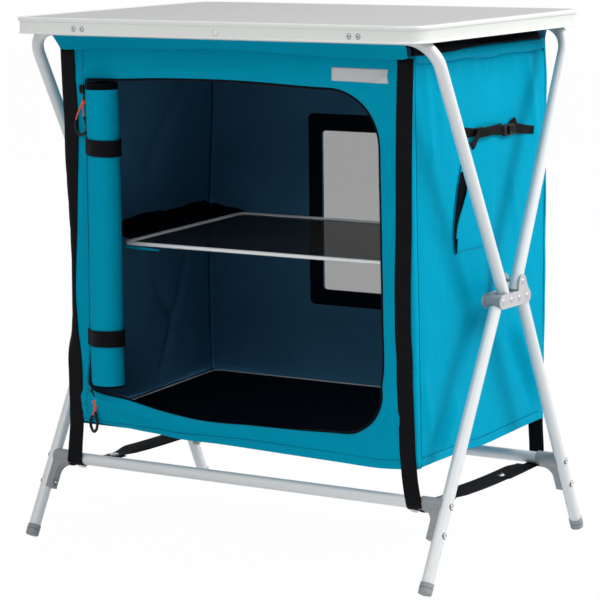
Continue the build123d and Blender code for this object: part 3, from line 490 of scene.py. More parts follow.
def stitches(name, lines, finish="stitch", pitch=4.2, length=2.8, radius=0.32, **how):
    """Rows of stitches along lines, which are lists of points."""
    shape = Shape()
    for path in lines:
        path = [Vector(p) for p in path]
        runs = lengths(path)
        here = pitch / 2
        while here + length < runs[-1]:
            ends = []
            for spot in (here, here + length):
                i = max(k for k in range(len(runs) - 1) if runs[k] <= spot)
                ends.append(path[i].lerp(path[i + 1], (spot - runs[i]) / max(runs[i + 1] - runs[i], 1e-6)))
            shape.tube([ends[0], ends[0].lerp(ends[1], 0.5), ends[1]], [radius * 0.5, radius, radius * 0.5], 4,
                       ends=False)
            here += pitch
    return shape.make(name, "", finish, **how)


make_camera()
make_surroundings()


# Table top: the rim is one extrusion with rounded lips, bent round the corners

def rounded_rectangle(half_x, half_y, radius, corner_steps):
    """Outline with rounded corners, anticlockwise from above."""
    outline = []
    for sx, sy, first in ((1, 1, 0), (-1, 1, 90), (-1, -1, 180), (1, -1, 270)):
        centre = (sx * (half_x - radius), sy * (half_y - radius))
        outline += arc_steps(centre, radius, first, first + 90, corner_steps)
    return outline


def make_rim():
    outer_x, outer_y, corner = 352.5, 249.0, 36.0
    profile = [(-8.0, 798.75), (-8.0, 799.2), (-7.5, 799.75), (-6.6, 800), (0.3, 800), (1.5, 799.75),
               (2.3, 798.9), (2.5, 797.6), (2.45, 795.6), (2.1, 794.4), (1.4, 793.75), (0.5, 793.55),
               (0.12, 793.25), (0.0, 792.7), (0.0, 779.2), (0.15, 778.4), (0.7, 777.7), (1.15, 776.9),
               (1.15, 776.1), (0.8, 775.65), (-5.6, 775.6), (-6.0, 775.9), (-6.0, 776.9), (-5.6, 777.2),
               (-2.0, 777.2), (-1.6, 777.6), (-1.6, 793.7), (-11.6, 793.7), (-12, 794), (-12, 794.9),
               (-11.6, 795.15), (-1.6, 795.15), (-1.6, 798.75)]
    rows, flat = [], []
    for reach, height in profile:
        outline = rounded_rectangle(outer_x + reach, outer_y + reach, corner + reach, 15)
        rows.append([(x, y, height) for x, y in outline])
        flat.append([(i * 9.0, height) for i in range(len(outline))])
    shape = Shape()
    shape.grid(rows, 0, flat, loop=True, ring=True, flip=True)
    rim = shape.make("rounded_rim", "top_rim", "rim", "rim_aluminium", "table_top")
    rim.data.set_sharp_from_angle(angle=radians(50))


make_rim()


# Cloth walls. A place on a wall is given by u, the length across the cloth, and z. The cloth turns round the
# cabinet's corners with a small radius, and out is the distance from the cloth's plain outer face.

# Half the cabinet's width, and the plain heights of its lower and upper edges.
HALF_WIDTH, HEM, TOP = 306, 172, 752
# Axes of the crossbars as depth and height. The upper ones lie at the same depth ahead and behind.
UPPER_BAR, FRONT_BAR, REAR_BAR = (203.0, 780), (-171.42, 118.0), (179.87, 118.0)
# Thickness of the walls' cloth, and half the width and the thickness of webbing.
CLOTH, WEBBING = 1.6, (12.5, 1.5)
# Finishes of a lined cloth's outer face, inner face and edge.
LINED = (0, 1, 0)
hem_z = spline((-310, 180), (-263, 179.5), (-236, 178.5), (-208, 177.5), (-180, 175.5), (-143, 173.5),
               (-106, 170), (-33, 169.6), (38, 168), (108, 166.5), (177, 165), (244, 163.5), (306, 168))
sill_z = spline((-262, 231), (-229, 225), (-197, 221), (-132, 210), (-68, 203), (-23, 202.5), (21, 204),
                (109, 205.5), (190, 208.5), (255, 209))
head_z = spline((-262, 707), (-198, 708.6), (-121, 711.8), (-14, 713), (55, 711.6), (123, 708.7),
                (165, 707.5), (255, 708))
jamb_x = spline((209, -270), (323, -269), (431, -266), (523, -263), (629, -260), (698, -261), (709, -261))
seam_z = spline((-307, 748.5), (-259, 749.8), (-233, 752.4), (-183, 753.6), (-13, 757), (74, 755),
                (191, 750.4), (303, 749.6))
rear_bulge = spline((172, 7), (300, 10), (393, 12), (484, 13), (574, 15), (694, 16), (748, 11))
left_bulge = spline((172, 4), (204, 6), (300, 9), (420, 11), (540, 6), (643, 1), (748, 0))
left_strap = spline((114, -303), (172, -299), (232, -298.3), (261, -298), (290, -300), (318, -304.5),
                    (376, -310), (433, -307.4), (490, -301.5), (547, -295.6), (633, -288.3), (691, -289.4),
                    (748, -290.5))
right_strap = spline((114, 303.5), (153, 295.9), (188, 291.7), (223, 290.7), (258, 289.8), (293, 288.8),
                     (328, 289), (363, 287.2), (398, 287.5), (433, 288), (503, 291), (573, 292.6),
                     (660, 295), (748, 299))


def front_y(z):
    """Depth of the front wall's plain outer face, ahead of the middle."""
    return 178 + (z - HEM) * 12 / 576


def waist(u, z):
    """How far the cabinet's left edge is drawn in by its strap, and flares below it."""
    return 12 * hill(z, 188, 30) - 6 * hill(z, 440, 130) if u < 0 else 0.0


def wall_point(face, u, z, out=0.0):
    """Place on the front wall (face -1) or the rear wall (face 1), whose corners bulge."""
    base, corner, narrow = front_y(z), 7.0, waist(u, z)
    if face > 0:
        base, corner = 202.0 + rear_bulge(z) * rise(abs(u), 110, 290), 4.0
        narrow = left_bulge(z) if u < 0 else 0.0
    sign, past = (1 if u > 0 else -1), abs(u) - (HALF_WIDTH - corner)
    if past <= 0:
        x, d = u + sign * narrow * rise(abs(u), 240, 299), base + out
    elif past <= corner * pi / 2:
        turn = past / corner
        x = sign * (HALF_WIDTH - corner + narrow + (corner + out) * sin(turn))
        d = base - corner + (corner + out) * cos(turn)
    else:
        x, d = sign * (HALF_WIDTH + narrow + out), base - corner - (past - corner * pi / 2)
    return (x, face * d, z)


def strap_middle(side, z):
    return left_strap(z) if side < 0 else right_strap(z)


def folds(u, v, table, slim=1.0):
    """Sum of folds, each given by its start, end, width and height."""
    return sum(fold(u, v, start, end, slim * width, height) for start, end, width, height in table)


FRONT_FOLDS = (
    ((-292, 222), (-150, 196), 7, 1.8), ((-285, 300), (-268, 232), 5, 1.6), ((-292, 690), (-240, 735), 6, 1.3),
    ((262, 300), (205, 190), 8, 1.5), ((286, 250), (232, 182), 7, 1.4), ((60, 190), (210, 183), 6, 1.2),
    ((-120, 190), (20, 186), 6, 1.0), ((262, 640), (282, 520), 6, 1.5), ((268, 470), (280, 340), 6, 1.2),
    ((225, 700), (292, 738), 7, 1.3), ((-150, 722), (40, 728), 6, 0.9), ((-275, 560), (-285, 400), 6, 1.2))
REAR_FOLDS = (((-280, 690), (-100, 640), 12, 2.0), ((270, 240), (120, 330), 14, 2.2),
              ((-260, 220), (-60, 300), 12, 1.8))
RIGHT_FOLDS = (
    ((-150, 738), (-128, 600), 8, 2.6), ((-118, 735), (-96, 640), 8, 2.0), ((120, 335), (205, 186), 16, 5.0),
    ((92, 329), (169, 209), 12, -2.6), ((-62, 246), (-104, 185), 9, 4.2), ((-92, 236), (-132, 190), 10, -2.6),
    ((0, 372), (-44, 300), 12, 2.6), ((-158, 300), (-134, 206), 9, 3.0), ((150, 735), (190, 600), 12, 2.6),
    ((100, 560), (130, 470), 12, 1.8), ((-150, 540), (-110, 500), 8, 1.8), ((-168, 290), (-140, 285), 7, 2.4))
LEFT_FOLDS = (
    ((144, 394), (49, 198), 9, 3.6), ((-150, 260), (-60, 420), 14, 3.0), ((-140, 720), (-40, 560), 12, 3.0),
    ((150, 700), (20, 540), 14, 3.2), ((150, 240), (40, 360), 12, 2.4), ((-130, 330), (-150, 240), 10, 4.0))


def front_swell(u, z):
    """Wrinkles of the front wall: gentle, with drawn folds towards the straps and the door's corners."""
    wave = 1.3 * ripple(u, z, 150, 1) + 0.5 * ripple(u, z, 48, 2) + 2.5 * folds(u, z, FRONT_FOLDS)
    wave += 5.5 * rise(z, 170, 212) * (1 - rise(z, 228, 330)) * (1 - rise(abs(u), 262, 300))
    held = exp(-((u - strap_middle(u, z)) / 17) ** 4)
    return wave * (1 - 0.85 * held) + 0.9 * rise(hem_z(u) + 13 - z, 0, 4) * (1 - held)


def rear_swell(u, z):
    return 1.6 * ripple(u, z, 170, 5) + 0.8 * ripple(u, z, 60, 6) + folds(u, z, REAR_FOLDS)


def front_place(u, z, out=0.0):
    return wall_point(-1, u, z, front_swell(u, z) + out)


def rear_place(u, z, out=0.0):
    return wall_point(1, u, z, rear_swell(u, z) + out)


def ring_rows(inner, outer, place, shares, step, count):
    """Rows of points from an inner outline to an outer one, and a count of rows past it with a step across."""
    flat = [[between(a, b, share) for a, b in zip(inner, outer)] for share in shares]
    low, high = min(q[1] for q in outer), max(q[1] for q in outer)
    reach = max(q[0] for q in outer)
    for k in range(1, count + 1):
        spots = []
        for u, z in outer:
            if abs(abs(u) - reach) < 0.01:
                u += k * step if u > 0 else -k * step
            z += 0.2 * k if z > high - 12 else -0.02 * k if z < low + 26 else 0
            spots.append((u, z))
        flat.append(spots)
    return [[place(u, z) for u, z in spots] for spots in flat], flat


def bordered_outline(corners, bottom):
    """Rounded opening clockwise from its top left, and the wall's border point for each of its points.

    Each corner has a centre, a radius, and the number of points on the edge before it and on its arc."""
    right = 299
    ends = ((right, TOP), (right, bottom), (-right, bottom), (-right, TOP))
    inner, outer = [], []

    def walk(a, b, count):
        return [between(a, b, k / count) for k in range(count)]

    def on_border(spot, side):
        return ((spot[0], TOP), (right, spot[1]), (spot[0], bottom), (-right, spot[1]))[side % 4]

    for i, (centre, radius, edge, arc) in enumerate(corners):
        across, up = ((0, 1), (1, 0), (0, -1), (-1, 0))[i]
        a, b = ((c[0][0] + across * c[1], c[0][1] + up * c[1]) for c in (corners[i - 1], corners[i]))
        inner += walk(a, b, edge) + arc_steps(centre, radius, 90 - 90 * i, -90 * i, arc + 1)[:-1]
        outer += walk(on_border(a, i), on_border(b, i), edge)
        outer += walk(on_border(centre, i), ends[i], arc // 2)
        outer += walk(ends[i], on_border(centre, i + 1), arc // 2)
    return inner, outer


def door_opening():
    """Door opening and the wall's border, with the sag of their real lines."""
    inner, outer = bordered_outline((((170, 624), 85, 56, 24), ((189, 275), 66, 44, 20),
                                     ((-248, 223), 14, 58, 12), ((-256, 703), 6, 60, 10)), HEM)
    for i, (u, z) in enumerate(inner):
        z += rise(z, 560, 700) * (head_z(u) - 709) + (1 - rise(z, 214, 330)) * (sill_z(u) - 209)
        inner[i] = (u + (1 - rise(u, -256, -190)) * (jamb_x(z) + 262), z)
    for i, (u, z) in enumerate(outer):
        outer[i] = (u, z + (1 - rise(z, 173, 320)) * (hem_z(u) - HEM) + rise(z, 640, TOP) * (seam_z(u) - 748))
    return inner, outer


def window_outline(half, low, high, radius):
    x, z0, z1 = half - radius, low + radius, high - radius
    return bordered_outline([(spot, radius, 26, 24) for spot in ((x, z1), (x, z0), (-x, z0), (-x, z1))], 174)


OPENING, BORDER = door_opening()


def make_front_wall():
    shape = Shape()
    rows, flat = ring_rows(OPENING, BORDER, front_place,
                           (0, 0.04, 0.1, 0.18, 0.27, 0.37, 0.47, 0.57, 0.67, 0.77, 0.87, 0.95, 1), 1.5, 11)
    shape.sheet(rows, CLOTH, flat, LINED, loop=True)
    wall = shape.make("front_wall", "front_panel", "blue navy", "blue_cloth")


def dish(x, y, left, wide, front, deep):
    """Share of the sag on a rectangle: 1 in the middle and 0 at its edges."""
    return sin(pi * (x - left) / wide) * sin(pi * (y - front) / deep)


def make_rear_wall():
    inner, outer = window_outline(88, 346, 603, 7)
    shape = Shape()
    rows, flat = ring_rows(inner[::-1], outer[::-1], rear_place, [0] + steps(0.02, 1, 19), 1.4, 9)
    shape.sheet(rows, CLOTH, flat, LINED, loop=True)
    wall = shape.make("rear_wall", "rear_panel", "blue navy", "blue_cloth", **BACK)

    net = Shape()
    across, up = steps(-97, 97, 21), steps(338, 611, 29)
    net.grid([[(x, 199.4 - 1.5 * dish(x, z, -97, 194, 338, 273) + rear_swell(x, z) * 0.7, z) for x in across]
              for z in up], 0, [[(x, z) for x in across] for z in up])
    net = net.make("window_net", "window_mesh", "window_net", "mesh", **BACK)

    edge = Shape()
    lines = list(zip(window_outline(87, 347, 602, 6)[0], window_outline(112.5, 322, 629, 9)[0]))
    for face, depth in ((1, 0.5), (-1, -2.6)):
        rows, flat = [], []
        for share in (0, 0.08, 0.5, 0.92, 1):
            out = depth + (0.0 if share in (0, 1) else face * 0.7)
            rows.append([rear_place(*between(a, b, share), out) for a, b in lines])
            flat.append([(k * 6.0, share * 24) for k in range(len(lines))])
        edge.grid(rows, 0, flat, loop=True, flip=face < 0)
    edge.make("window_binding", "", "binding", "black_cloth", **BACK)


make_front_wall()
make_rear_wall()

side_hem_z = spline((-180, 168), (-112, 169), (-36, 170), (6, 168), (67, 170), (130, 173), (208, 176))
side_seam_z = spline((-177, 744), (-140, 741), (-88, 740), (-30, 741), (15, 738), (44, 737.5), (93, 740),
                     (160, 738.5), (212, 741))
# Puckers under the side walls' upper seam: where they are along y, and how far they stand out.
PUCKERS = ((-150, 1.4), (-120, 1.0), (-60, 1.6), (-8, 1.2), (24, 2.4), (48, 1.8), (110, 1.2), (160, 1.8))


def side_swell(side, y, z):
    """Wrinkles and slack of a side wall, still at its seams."""
    inside = rise(y, -166, -120) * (1 - rise(y, 160, 206))
    wave = 2.2 * ripple(y, z, 150, 8 + side) + 1.1 * ripple(y, z, 52, 11 + side)
    wave += 1.8 * folds(y, z, RIGHT_FOLDS if side > 0 else LEFT_FOLDS, 0.85)
    hub = 6.5 * hill(y, 14, 30) * hill(z, 398, 30) if side > 0 else 0.0
    return (wave * (0.25 + 0.75 * inside) + hub) * (1 - 0.7 * rise(z, 735, 757))


def side_low(side, y):
    return side_hem_z(y) if side > 0 else HEM + 13 * (1 - (y + 167) / 363)


def side_place(side, y, z, out=0.0):
    """Place on a side wall. It stands a little behind the turned edge of the front wall."""
    low, seam = side_low(side, y), side_seam_z(y)
    wave = side_swell(side, y, z) + 0.5 * rise(low + 13 - z, 0, 3) - 0.8 * hill(z, low + 12.6, 1.3)
    wave += 2.4 * rise(z, seam, seam + 4) * (1 - rise(z, seam + 9, 759)) - 3.0 * hill(z, seam, 2.4)
    for spot, size in PUCKERS:
        wave += size * hill(y, spot, 7) * hill(z, seam - 9, 9)
    narrow = waist(-1, z) * (1 - rise(y, -150, 60)) + left_bulge(z) * rise(y, 0, 180) if side < 0 else 0.0
    wave -= 2.6 * (1 - rise(y, -176, -146)) * rise(z, 176, 230) * (1 - rise(z, 700, 745))
    return (side * (305.2 + narrow + wave + out), y, z)


def make_side_wall(side, name):
    heights = [0, 1.5, 3.5, 6, 9, 11, 12, 13.2, 14.6, 17, 21, 27, 35] + steps(44, 545, 50)
    heights += [551, 556, 560, 563, 565.5, 568, 570, 572, 574, 576.5, 580, 584, 588]
    rows, flat = [], []
    for height in heights:
        spots = []
        for share in steps(0, 1, 60):
            low = side_low(side, -167 + 363 * share)
            z = low + (758 - low) * height / 588
            start, stop = 12.2 - front_y(z), 195.5 + rear_bulge(z)
            spots.append((start + (stop - start) * share, z))
        rows.append([side_place(side, y, z) for y, z in spots][::side])
        flat.append(spots[::side])
    shape = Shape()
    shape.sheet(rows, 1.5, flat, LINED)
    wall = shape.make(f"{name}_wall", f"side_panel_{name}", "blue navy", "blue_cloth", **BACK)


make_side_wall(1, "right")
make_side_wall(-1, "left")


def make_roof():
    """Black roof cloth, turned down over the side walls."""
    lower = spline((-190, 755.6), (-135, 753.5), (-87, 754.6), (8, 758.7), (114, 758), (177, 757),
                   (209, 752.5))
    rows, flat = [], []
    for y in steps(-188, 190, 40):
        turned = [(307.4, lower(y)), (307.6, lower(y) + 4), (307.2, 762), (306.4, 765.6), (303, 767.8)]
        section = [(-x, z) for x, z in turned]
        section += [(x, 768.2 - 2.2 * dish(x, y, -300, 600, -188, 378) + 0.5 * ripple(x, y, 60, 15))
                    for x in steps(-296, 296, 41)] + turned[::-1]
        rows.append([(x, y, z) for x, z in section])
        flat.append([(run, y) for run in lengths(section)])
    shape = Shape()
    shape.sheet(rows, 0.9, flat)
    roof = shape.make("roof_cloth", "roof_panel", "black_cloth", "black_cloth", **BACK)


def make_skirt(face, name, last, stand, how):
    """Cloth round an upper crossbar, sewn down along the seam at the top of a wall."""
    rows, flat = [], []
    for x in steps(-303, 303, 76):
        low = seam_z(x) if face < 0 else 749 + 1.5 * ripple(x, 0, 90, 21)
        wall = front_place(x, low) if face < 0 else rear_place(x, low)
        end = (wall[1] + face * stand, low)
        section = [(face * y, z) for y, z in arc_steps(UPPER_BAR, 10.7, 200, last, 22)]
        touch = section[-1]
        for t in (0.12, 0.26, 0.42, 0.58, 0.74, 0.86, 0.94):
            y, z = between(touch, end, t)
            section.append((y - face * 1.6 * sin(pi * t) * (0.6 + 0.5 * ripple(x, t * 30, 45, 23)), z))
        section += [end, (end[0] - face * 1.3, end[1] - 0.6), (end[0] - face * 1.8, end[1] + 5)]
        rows.append([(x * (1 + 0.016 * rise(z, low, 778)), y, z) for y, z in section])
        flat.append([(x, run) for run in lengths(section)])
    shape = Shape()
    shape.sheet(rows[::-face], 1.0, flat[::-face], LINED)
    skirt = shape.make(f"{name}_sleeve", f"{name}_skirt", "blue navy", "blue_cloth", **how)


make_roof()
make_skirt(-1, "front", 12, 1.5, {})
make_skirt(1, "rear", 4, 2.0, BACK)


# Door: rolled up on the left of its opening, with two ties, and the zip round the opening

TIES = (314, 605)


def roll_radius(z):
    return 26 - 1.6 * sum(hill(z, tie, 15) for tie in TIES) + 0.5 * ripple(z, 3, 60, 31)


def roll_point(z, angle, radius):
    """Place on the roll: angle in degrees, 0 to the right and 90 towards the viewer."""
    middle = -228 - 6.5 * (1 - rise(z, 240, 640))
    return (middle + radius * cos(radians(angle)), -(front_y(z) + radius * sin(radians(angle)) * 0.97), z)


def roll_section(z):
    """One section of the rolled door, from the left edge of the opening into the spiral."""
    radius, first = roll_radius(z), 152
    start = (jamb_x(z) + 1.0, -(front_y(z) + 0.2), z)
    points = [between(start, roll_point(z, first, radius), t) for t in (0, 0.3, 0.6, 0.85)]
    for turn in steps(0, 2.85, 115):
        angle = first - 360 * turn
        drawn_in = 4.6 * turn + 0.9 * rise(turn, 0.9, 1.1)
        points.append(roll_point(z, angle, radius - drawn_in + 0.35 * ripple(angle, z, 70, 33)))
    return points


def make_roll():
    heights = [240, 241.2, 243, 246] + steps(250, 692, 56) + [695, 698, 700.6, 702]
    rows, flat = [], []
    for z in heights:
        row = roll_section(z)
        flat.append([(run, z) for run in lengths(row)])
        if z < 250:
            row = [(p[0], p[1], z + 2.5 * ripple(i, 0, 40, 35)) for i, p in enumerate(row)]
        rows.append(row)
    shape = Shape()
    shape.sheet(rows, 1.5, flat, (0, 1, 2))
    width = len(rows[0]) - 1
    for i in range(len(rows) - 1):
        if heights[i] >= 692 or heights[i] < 243:
            for first in (i * width, (len(rows) - 1 + i) * width):
                shape.slots[first:first + width] = [2] * width
    roll = shape.make("rolled_door", "door_roll", "blue navy black_cloth", "blue_cloth", **DOOR_ROLL)

    ties = Shape()
    for tie in TIES:
        rows, flat = [], []
        for dz in (-12.5, -12, -6, 0, 6, 12, 12.5):
            z = tie + dz
            lift = 0.5 if abs(dz) > 12.2 else 1.5
            row = [(jamb_x(z) - 1.5, -(front_y(z) + 0.6 + lift), z)]
            row += [roll_point(z, a, roll_radius(z) + 0.2 + lift) for a in steps(150, -165, 60)]
            row.append((jamb_x(z) + 0.5, -(front_y(z) - 4.5), z))
            rows.append([(p[0], p[1], z + 1.2 * sin(i * 0.11 + tie)) for i, p in enumerate(row)])
            flat.append([(dz, run) for run in lengths(row)])
        ties.sheet(rows, 1.4, flat)
    ties.make("tie_bands", "door_ties", "webbing", "webbing", **DOOR_ROLL)


make_roll()


def outward(outline):
    """Unit normals that point out of a clockwise outline."""
    normals = []
    for a, b in zip(outline[-1:] + outline, outline[1:] + outline[:1]):
        length = dist(a, b)
        normals.append((-(b[1] - a[1]) / length, (b[0] - a[0]) / length))
    return normals


# Faces of a zip tooth, a small block with its lower corners first.
BLOCK = [(0, 3, 2, 1), (4, 5, 6, 7), (0, 1, 5, 4), (1, 2, 6, 5), (2, 3, 7, 6), (3, 0, 4, 7)]


def make_zip():
    """Zip tape sewn behind the edge of the opening, with its row of teeth, along the top, right and bottom."""
    track = list(zip(OPENING, outward(OPENING)))[:210]
    runs = lengths(OPENING[:210])
    shown = [3.6 - 2.6 * rise(i, 150, 160) * (1 - rise(i, 186, 200)) for i in range(210)]
    rows, flat = [], []
    for ((u, z), (nu, nz)), run, show in zip(track, runs, shown):
        rows.append([wall_point(-1, u + nu * s, z + nz * s, front_swell(u, z) + d)
                     for s, d in ((5.5, -1.9), (1.0, -1.8), (-show * 0.5, -1.1), (-show, -1.0))])
        flat.append([(s, run) for s in (5.5, 1, -1.5, -3.6)])
    tape, teeth, here = Shape(), Shape(), 0.0
    tape.sheet(rows, 0.9, flat)
    tape.make("zip_strip", "zip_tape", "binding", "zip_tape")
    for i in range(1, 210):
        (start, (nu, nz)), (end, _) = track[i - 1:i + 1]
        length, inset = dist(start, end), shown[i] - 0.2
        tu, tz = (end[0] - start[0]) / length, (end[1] - start[1]) / length
        while here < runs[i]:
            u, z = between(start, end, (here - runs[i - 1]) / length)
            u, z = u - nu * inset, z - nz * inset
            lift = front_swell(u, z) - 0.95
            corners = []
            for wide, deep, top in ((0.55, 0.9, 0), (0.35, 0.6, 0.5)):
                for a, b in ((-wide, -deep), (wide, -deep), (wide, deep), (-wide, deep)):
                    corners.append(wall_point(-1, u + tu * a + nu * b, z + tz * a + nz * b, lift + top))
            teeth.add(corners, BLOCK)
            here += 2.2
    teeth.make("zip_teeth", "", "black", "zip_tape", smooth=False)


make_zip()


# Webbing straps

def strap_sag(y):
    """How far the straps along the depth hang down between the lower crossbars."""
    return 4.0 * sin(pi * min(1.0, max(0.0, (y + 150) / 310)))


def front_strap(side):
    """Strap from the skirt's seam down a front corner, round the lower crossbar and in along the depth."""
    offsets = (-13.3, -12.8, -9, -4.5, 0, 4.5, 9, 12.8, 13.3)
    rows = []
    for z in steps(TOP, 124, 80):
        on_wall = max(z, HEM)
        row = []
        for w in offsets:
            u, lift = strap_middle(side, z) + w, 1.0 if abs(w) > 13 else 1.8
            plain = (u, -(front_y(on_wall) + lift))
            x, y = between(plain, wall_point(-1, u, on_wall, lift), rise(z, 262, 350) if side < 0 else 0.0)
            row.append((x, y + (-182.5 - y) * rise(190 - z, 0, 70), z))
        rows.append(row)
    middle = strap_middle(side, FRONT_BAR[1])
    thin = [0.8 if abs(w) > 13 else 0 for w in offsets]
    collar = [1.9 * rise(abs(middle + w), 306, 312) for w in offsets]
    for a in steps(186, 268, 10):
        rows.append([(middle + w, *arc_steps(FRONT_BAR, 11.0 - t + c, a, a, 2)[0])
                     for w, t, c in zip(offsets, thin, collar)])
    for y in steps(-168, -74, 16):
        x, z = middle + (side * 297 - middle) * rise(y, -150, -90), 107.0 - strap_sag(y)
        near = 1 - rise(y, -168, -156)
        rows.append([(x + w, y, z + t - c * near) for w, t, c in zip(offsets, thin, collar)])
    flat = [[(w, run) for w in offsets] for run in lengths([row[4] for row in rows])]
    return rows[::-1], flat[::-1]


def make_straps():
    front, rear, depth = Shape(), Shape(), Shape()
    for side in (-1, 1):
        rows, flat = front_strap(side)
        front.sheet(rows, 1.4, flat)

        path = [(203.8 + rear_bulge(z) * 0.97, z) for z in steps(750, 186, 50)]
        path += [(208, 178), (204, 168), (200.4, 158), (197.2, 148), (194.3, 138), (191.8, 129)]
        path += arc_steps(REAR_BAR, 10.2, 14, -90, 12)
        path += [(y, 107.8 - strap_sag(y)) for y in steps(172, 82, 14)]
        places = [Vector((side * (303 - 14 * rise(z, 112, 200)), y, z)) for y, z in path]
        ends = places[:1] + places + places[-1:]
        rear.ribbon(places, [(1, 0, 0)] * len(places),
                    [Vector((1, 0, 0)).cross(b - a) for a, b in zip(ends, ends[2:])], *WEBBING)

        places, widths, normals = [], [], []
        for y in steps(-150, 160, 44):
            t = (y + 150) / 310
            tilt = radians(-21 * rise(t, 0.24, 0.36) * (1 - rise(t, 0.86, 1)))
            z = 109.7 - strap_sag(y) + 3.5 * rise(t, 0.24, 0.36) * (1 - t)
            places.append((side * (297 + 2.0 * sin(pi * t)), y, z))
            widths.append((cos(tilt), 0, sin(tilt)))
            normals.append((-sin(tilt), 0, cos(tilt)))
        depth.ribbon(places, widths, normals, *WEBBING)
    for shape, name, node, how in ((front, "front_corner_straps", "front_straps", FRONT_STRAP),
                                   (rear, "rear_corner_straps", "rear_straps", BACK),
                                   (depth, "lower_depth_straps", "depth_straps", FRONT_STRAP)):
        shape.make(name, node, "webbing", "webbing", **how)


make_straps()


# Shelf rod, shelf net and slings, floor cloth

SHELF_SLOPE = tan(radians(1.6))


def shelf_z(y):
    return 452.0 + (y + 125.0) * SHELF_SLOPE


def make_shelf_rod():
    """Shelf rod with its real tight corners."""
    path = [Vector((x, y + 35, shelf_z(y + 35))) for x, y in rounded_rectangle(241, 160, 12, 9)]
    up = Vector((0, -SHELF_SLOPE, 1)).normalized()
    rows = []
    for a, point, b in zip(path[-1:] + path, path, path[1:] + path[:1]):
        rows.append(circle(point, (b - a).normalized().cross(up).normalized(), up, 3, 14))
    rod = Shape()
    rod.grid(rows, 0, loop=True, ring=True)
    rod.make("shelf_rod", "middle_shelf_frame", "rod", "rod_steel", "middle_shelf")


def make_shelf_net():
    rows = []
    for y in steps(-120.5, 190.5, 30):
        row = []
        for x in steps(-235.5, 235.5, 40):
            over_x, over_y = max(0, abs(x) - 229), max(0, abs(y - 35) - 148)
            pull = 8 / max(8, hypot(over_x, over_y))
            px = (229 + over_x * pull) * (1 if x > 0 else -1) if over_x else x
            py = 35 + (148 + over_y * pull) * (1 if y > 35 else -1) if over_y else y
            sag = 3.2 * dish(x, y, -236, 472, -121, 312) - 0.3 * ripple(x, y, 50, 41)
            row.append((px, py, shelf_z(py) - sag))
        rows.append(row)
    net = Shape()
    net.grid(rows, 0, [[p[:2] for p in row] for row in rows])
    net = net.make("shelf_net", "middle_shelf_mesh", "shelf_net", "mesh", "middle_shelf")


def make_slings():
    """Black cloth beside and behind the shelf, and its blue edge at the front left."""
    shape = Shape()
    for side in (-1, 1):
        rows, flat = [], []
        for y in steps(-104, 192, 48):
            rod = shelf_z(y)
            top = rod + 17 + 3 * sin((y + 40) * 0.03) + 2.5 * ripple(y, 2, 26, 43) - 3 * hill(y, 70, 12)
            top -= 4 * rise(y, 150, 192)
            row = [(240.2, rod - 3.6), (241.6, rod - 2.6), (243.4, rod + 0.4), (246, rod + 3)]
            wall = abs(side_place(side, y, top)[0]) - 2.4
            for t in steps(0.12, 0.97, 12):
                hang = 3.5 * sin(pi * t) + 1.2 * ripple(y, t * 60, 30, 44)
                row.append((243.4 + (wall - 244.6) * t, rod + 1 + (top - rod - 1) * t ** 0.9 - hang + 2))
            row.append((wall, top + 2.5))
            rows.append([(side * x, y, z) for x, z in row])
            flat.append([(x, y) for x, z in row])
        shape.sheet(rows[::-side], 1.3, flat[::-side])
        rows, flat = [], []
        for t in steps(0, 1, 20):
            x, rod = 300 - 86 * t, shelf_z(195)
            top = rod + 14 * (1 - t) ** 0.8 + 1.5 * ripple(x, 5, 20, 48)
            rows.append([(side * x, 196.5 + (top - z) * 0.05, z) for z in steps(rod - 2, top, 6)])
            flat.append([(x, z) for z in steps(rod - 2, top, 6)])
        shape.sheet(rows[::side], 1.2, flat[::side])
    rows, flat, across = [], [], (-2.6, 0, 2.6)
    for t in steps(0, 1, 24):
        x = -246 + 68 * t
        narrow = 1 - 0.6 * rise(x, -215, -178)
        rows.append([(x, -119.5 - 1.2 * t, 446.2 - 2.6 * t + w * narrow) for w in across])
        flat.append([(x, w) for w in across])
    shape.sheet(rows, 0.8, flat, (1, 1, 1))
    sling = shape.make("shelf_slings", "shelf_sling", "black_cloth blue", "black_cloth", keep=0.02)


def make_floor_cloth():
    rows, xs = [], steps(-303.2, 303.2, 44)
    for y in steps(-176, 196, 34):
        rows.append([(x, y, 177.2 + (y + 172) * 0.0489 - 2.3 * dish(x, y, -303, 606, -176, 372)
                      + 0.4 * ripple(x, y, 60, 45) + 4.5 * rise(abs(x), 298.5, 303)) for x in xs])
    shape = Shape()
    shape.sheet(rows, 1.4, [[p[:2] for p in row] for row in rows], (0, 1, 1))
    cloth = shape.make("floor_cloth", "floor_panel", "black_cloth blue", "black_cloth", keep=0.035)


make_shelf_rod()
make_shelf_net()
make_slings()
make_floor_cloth()


# Side strap with its buckle, side pocket and blank patch

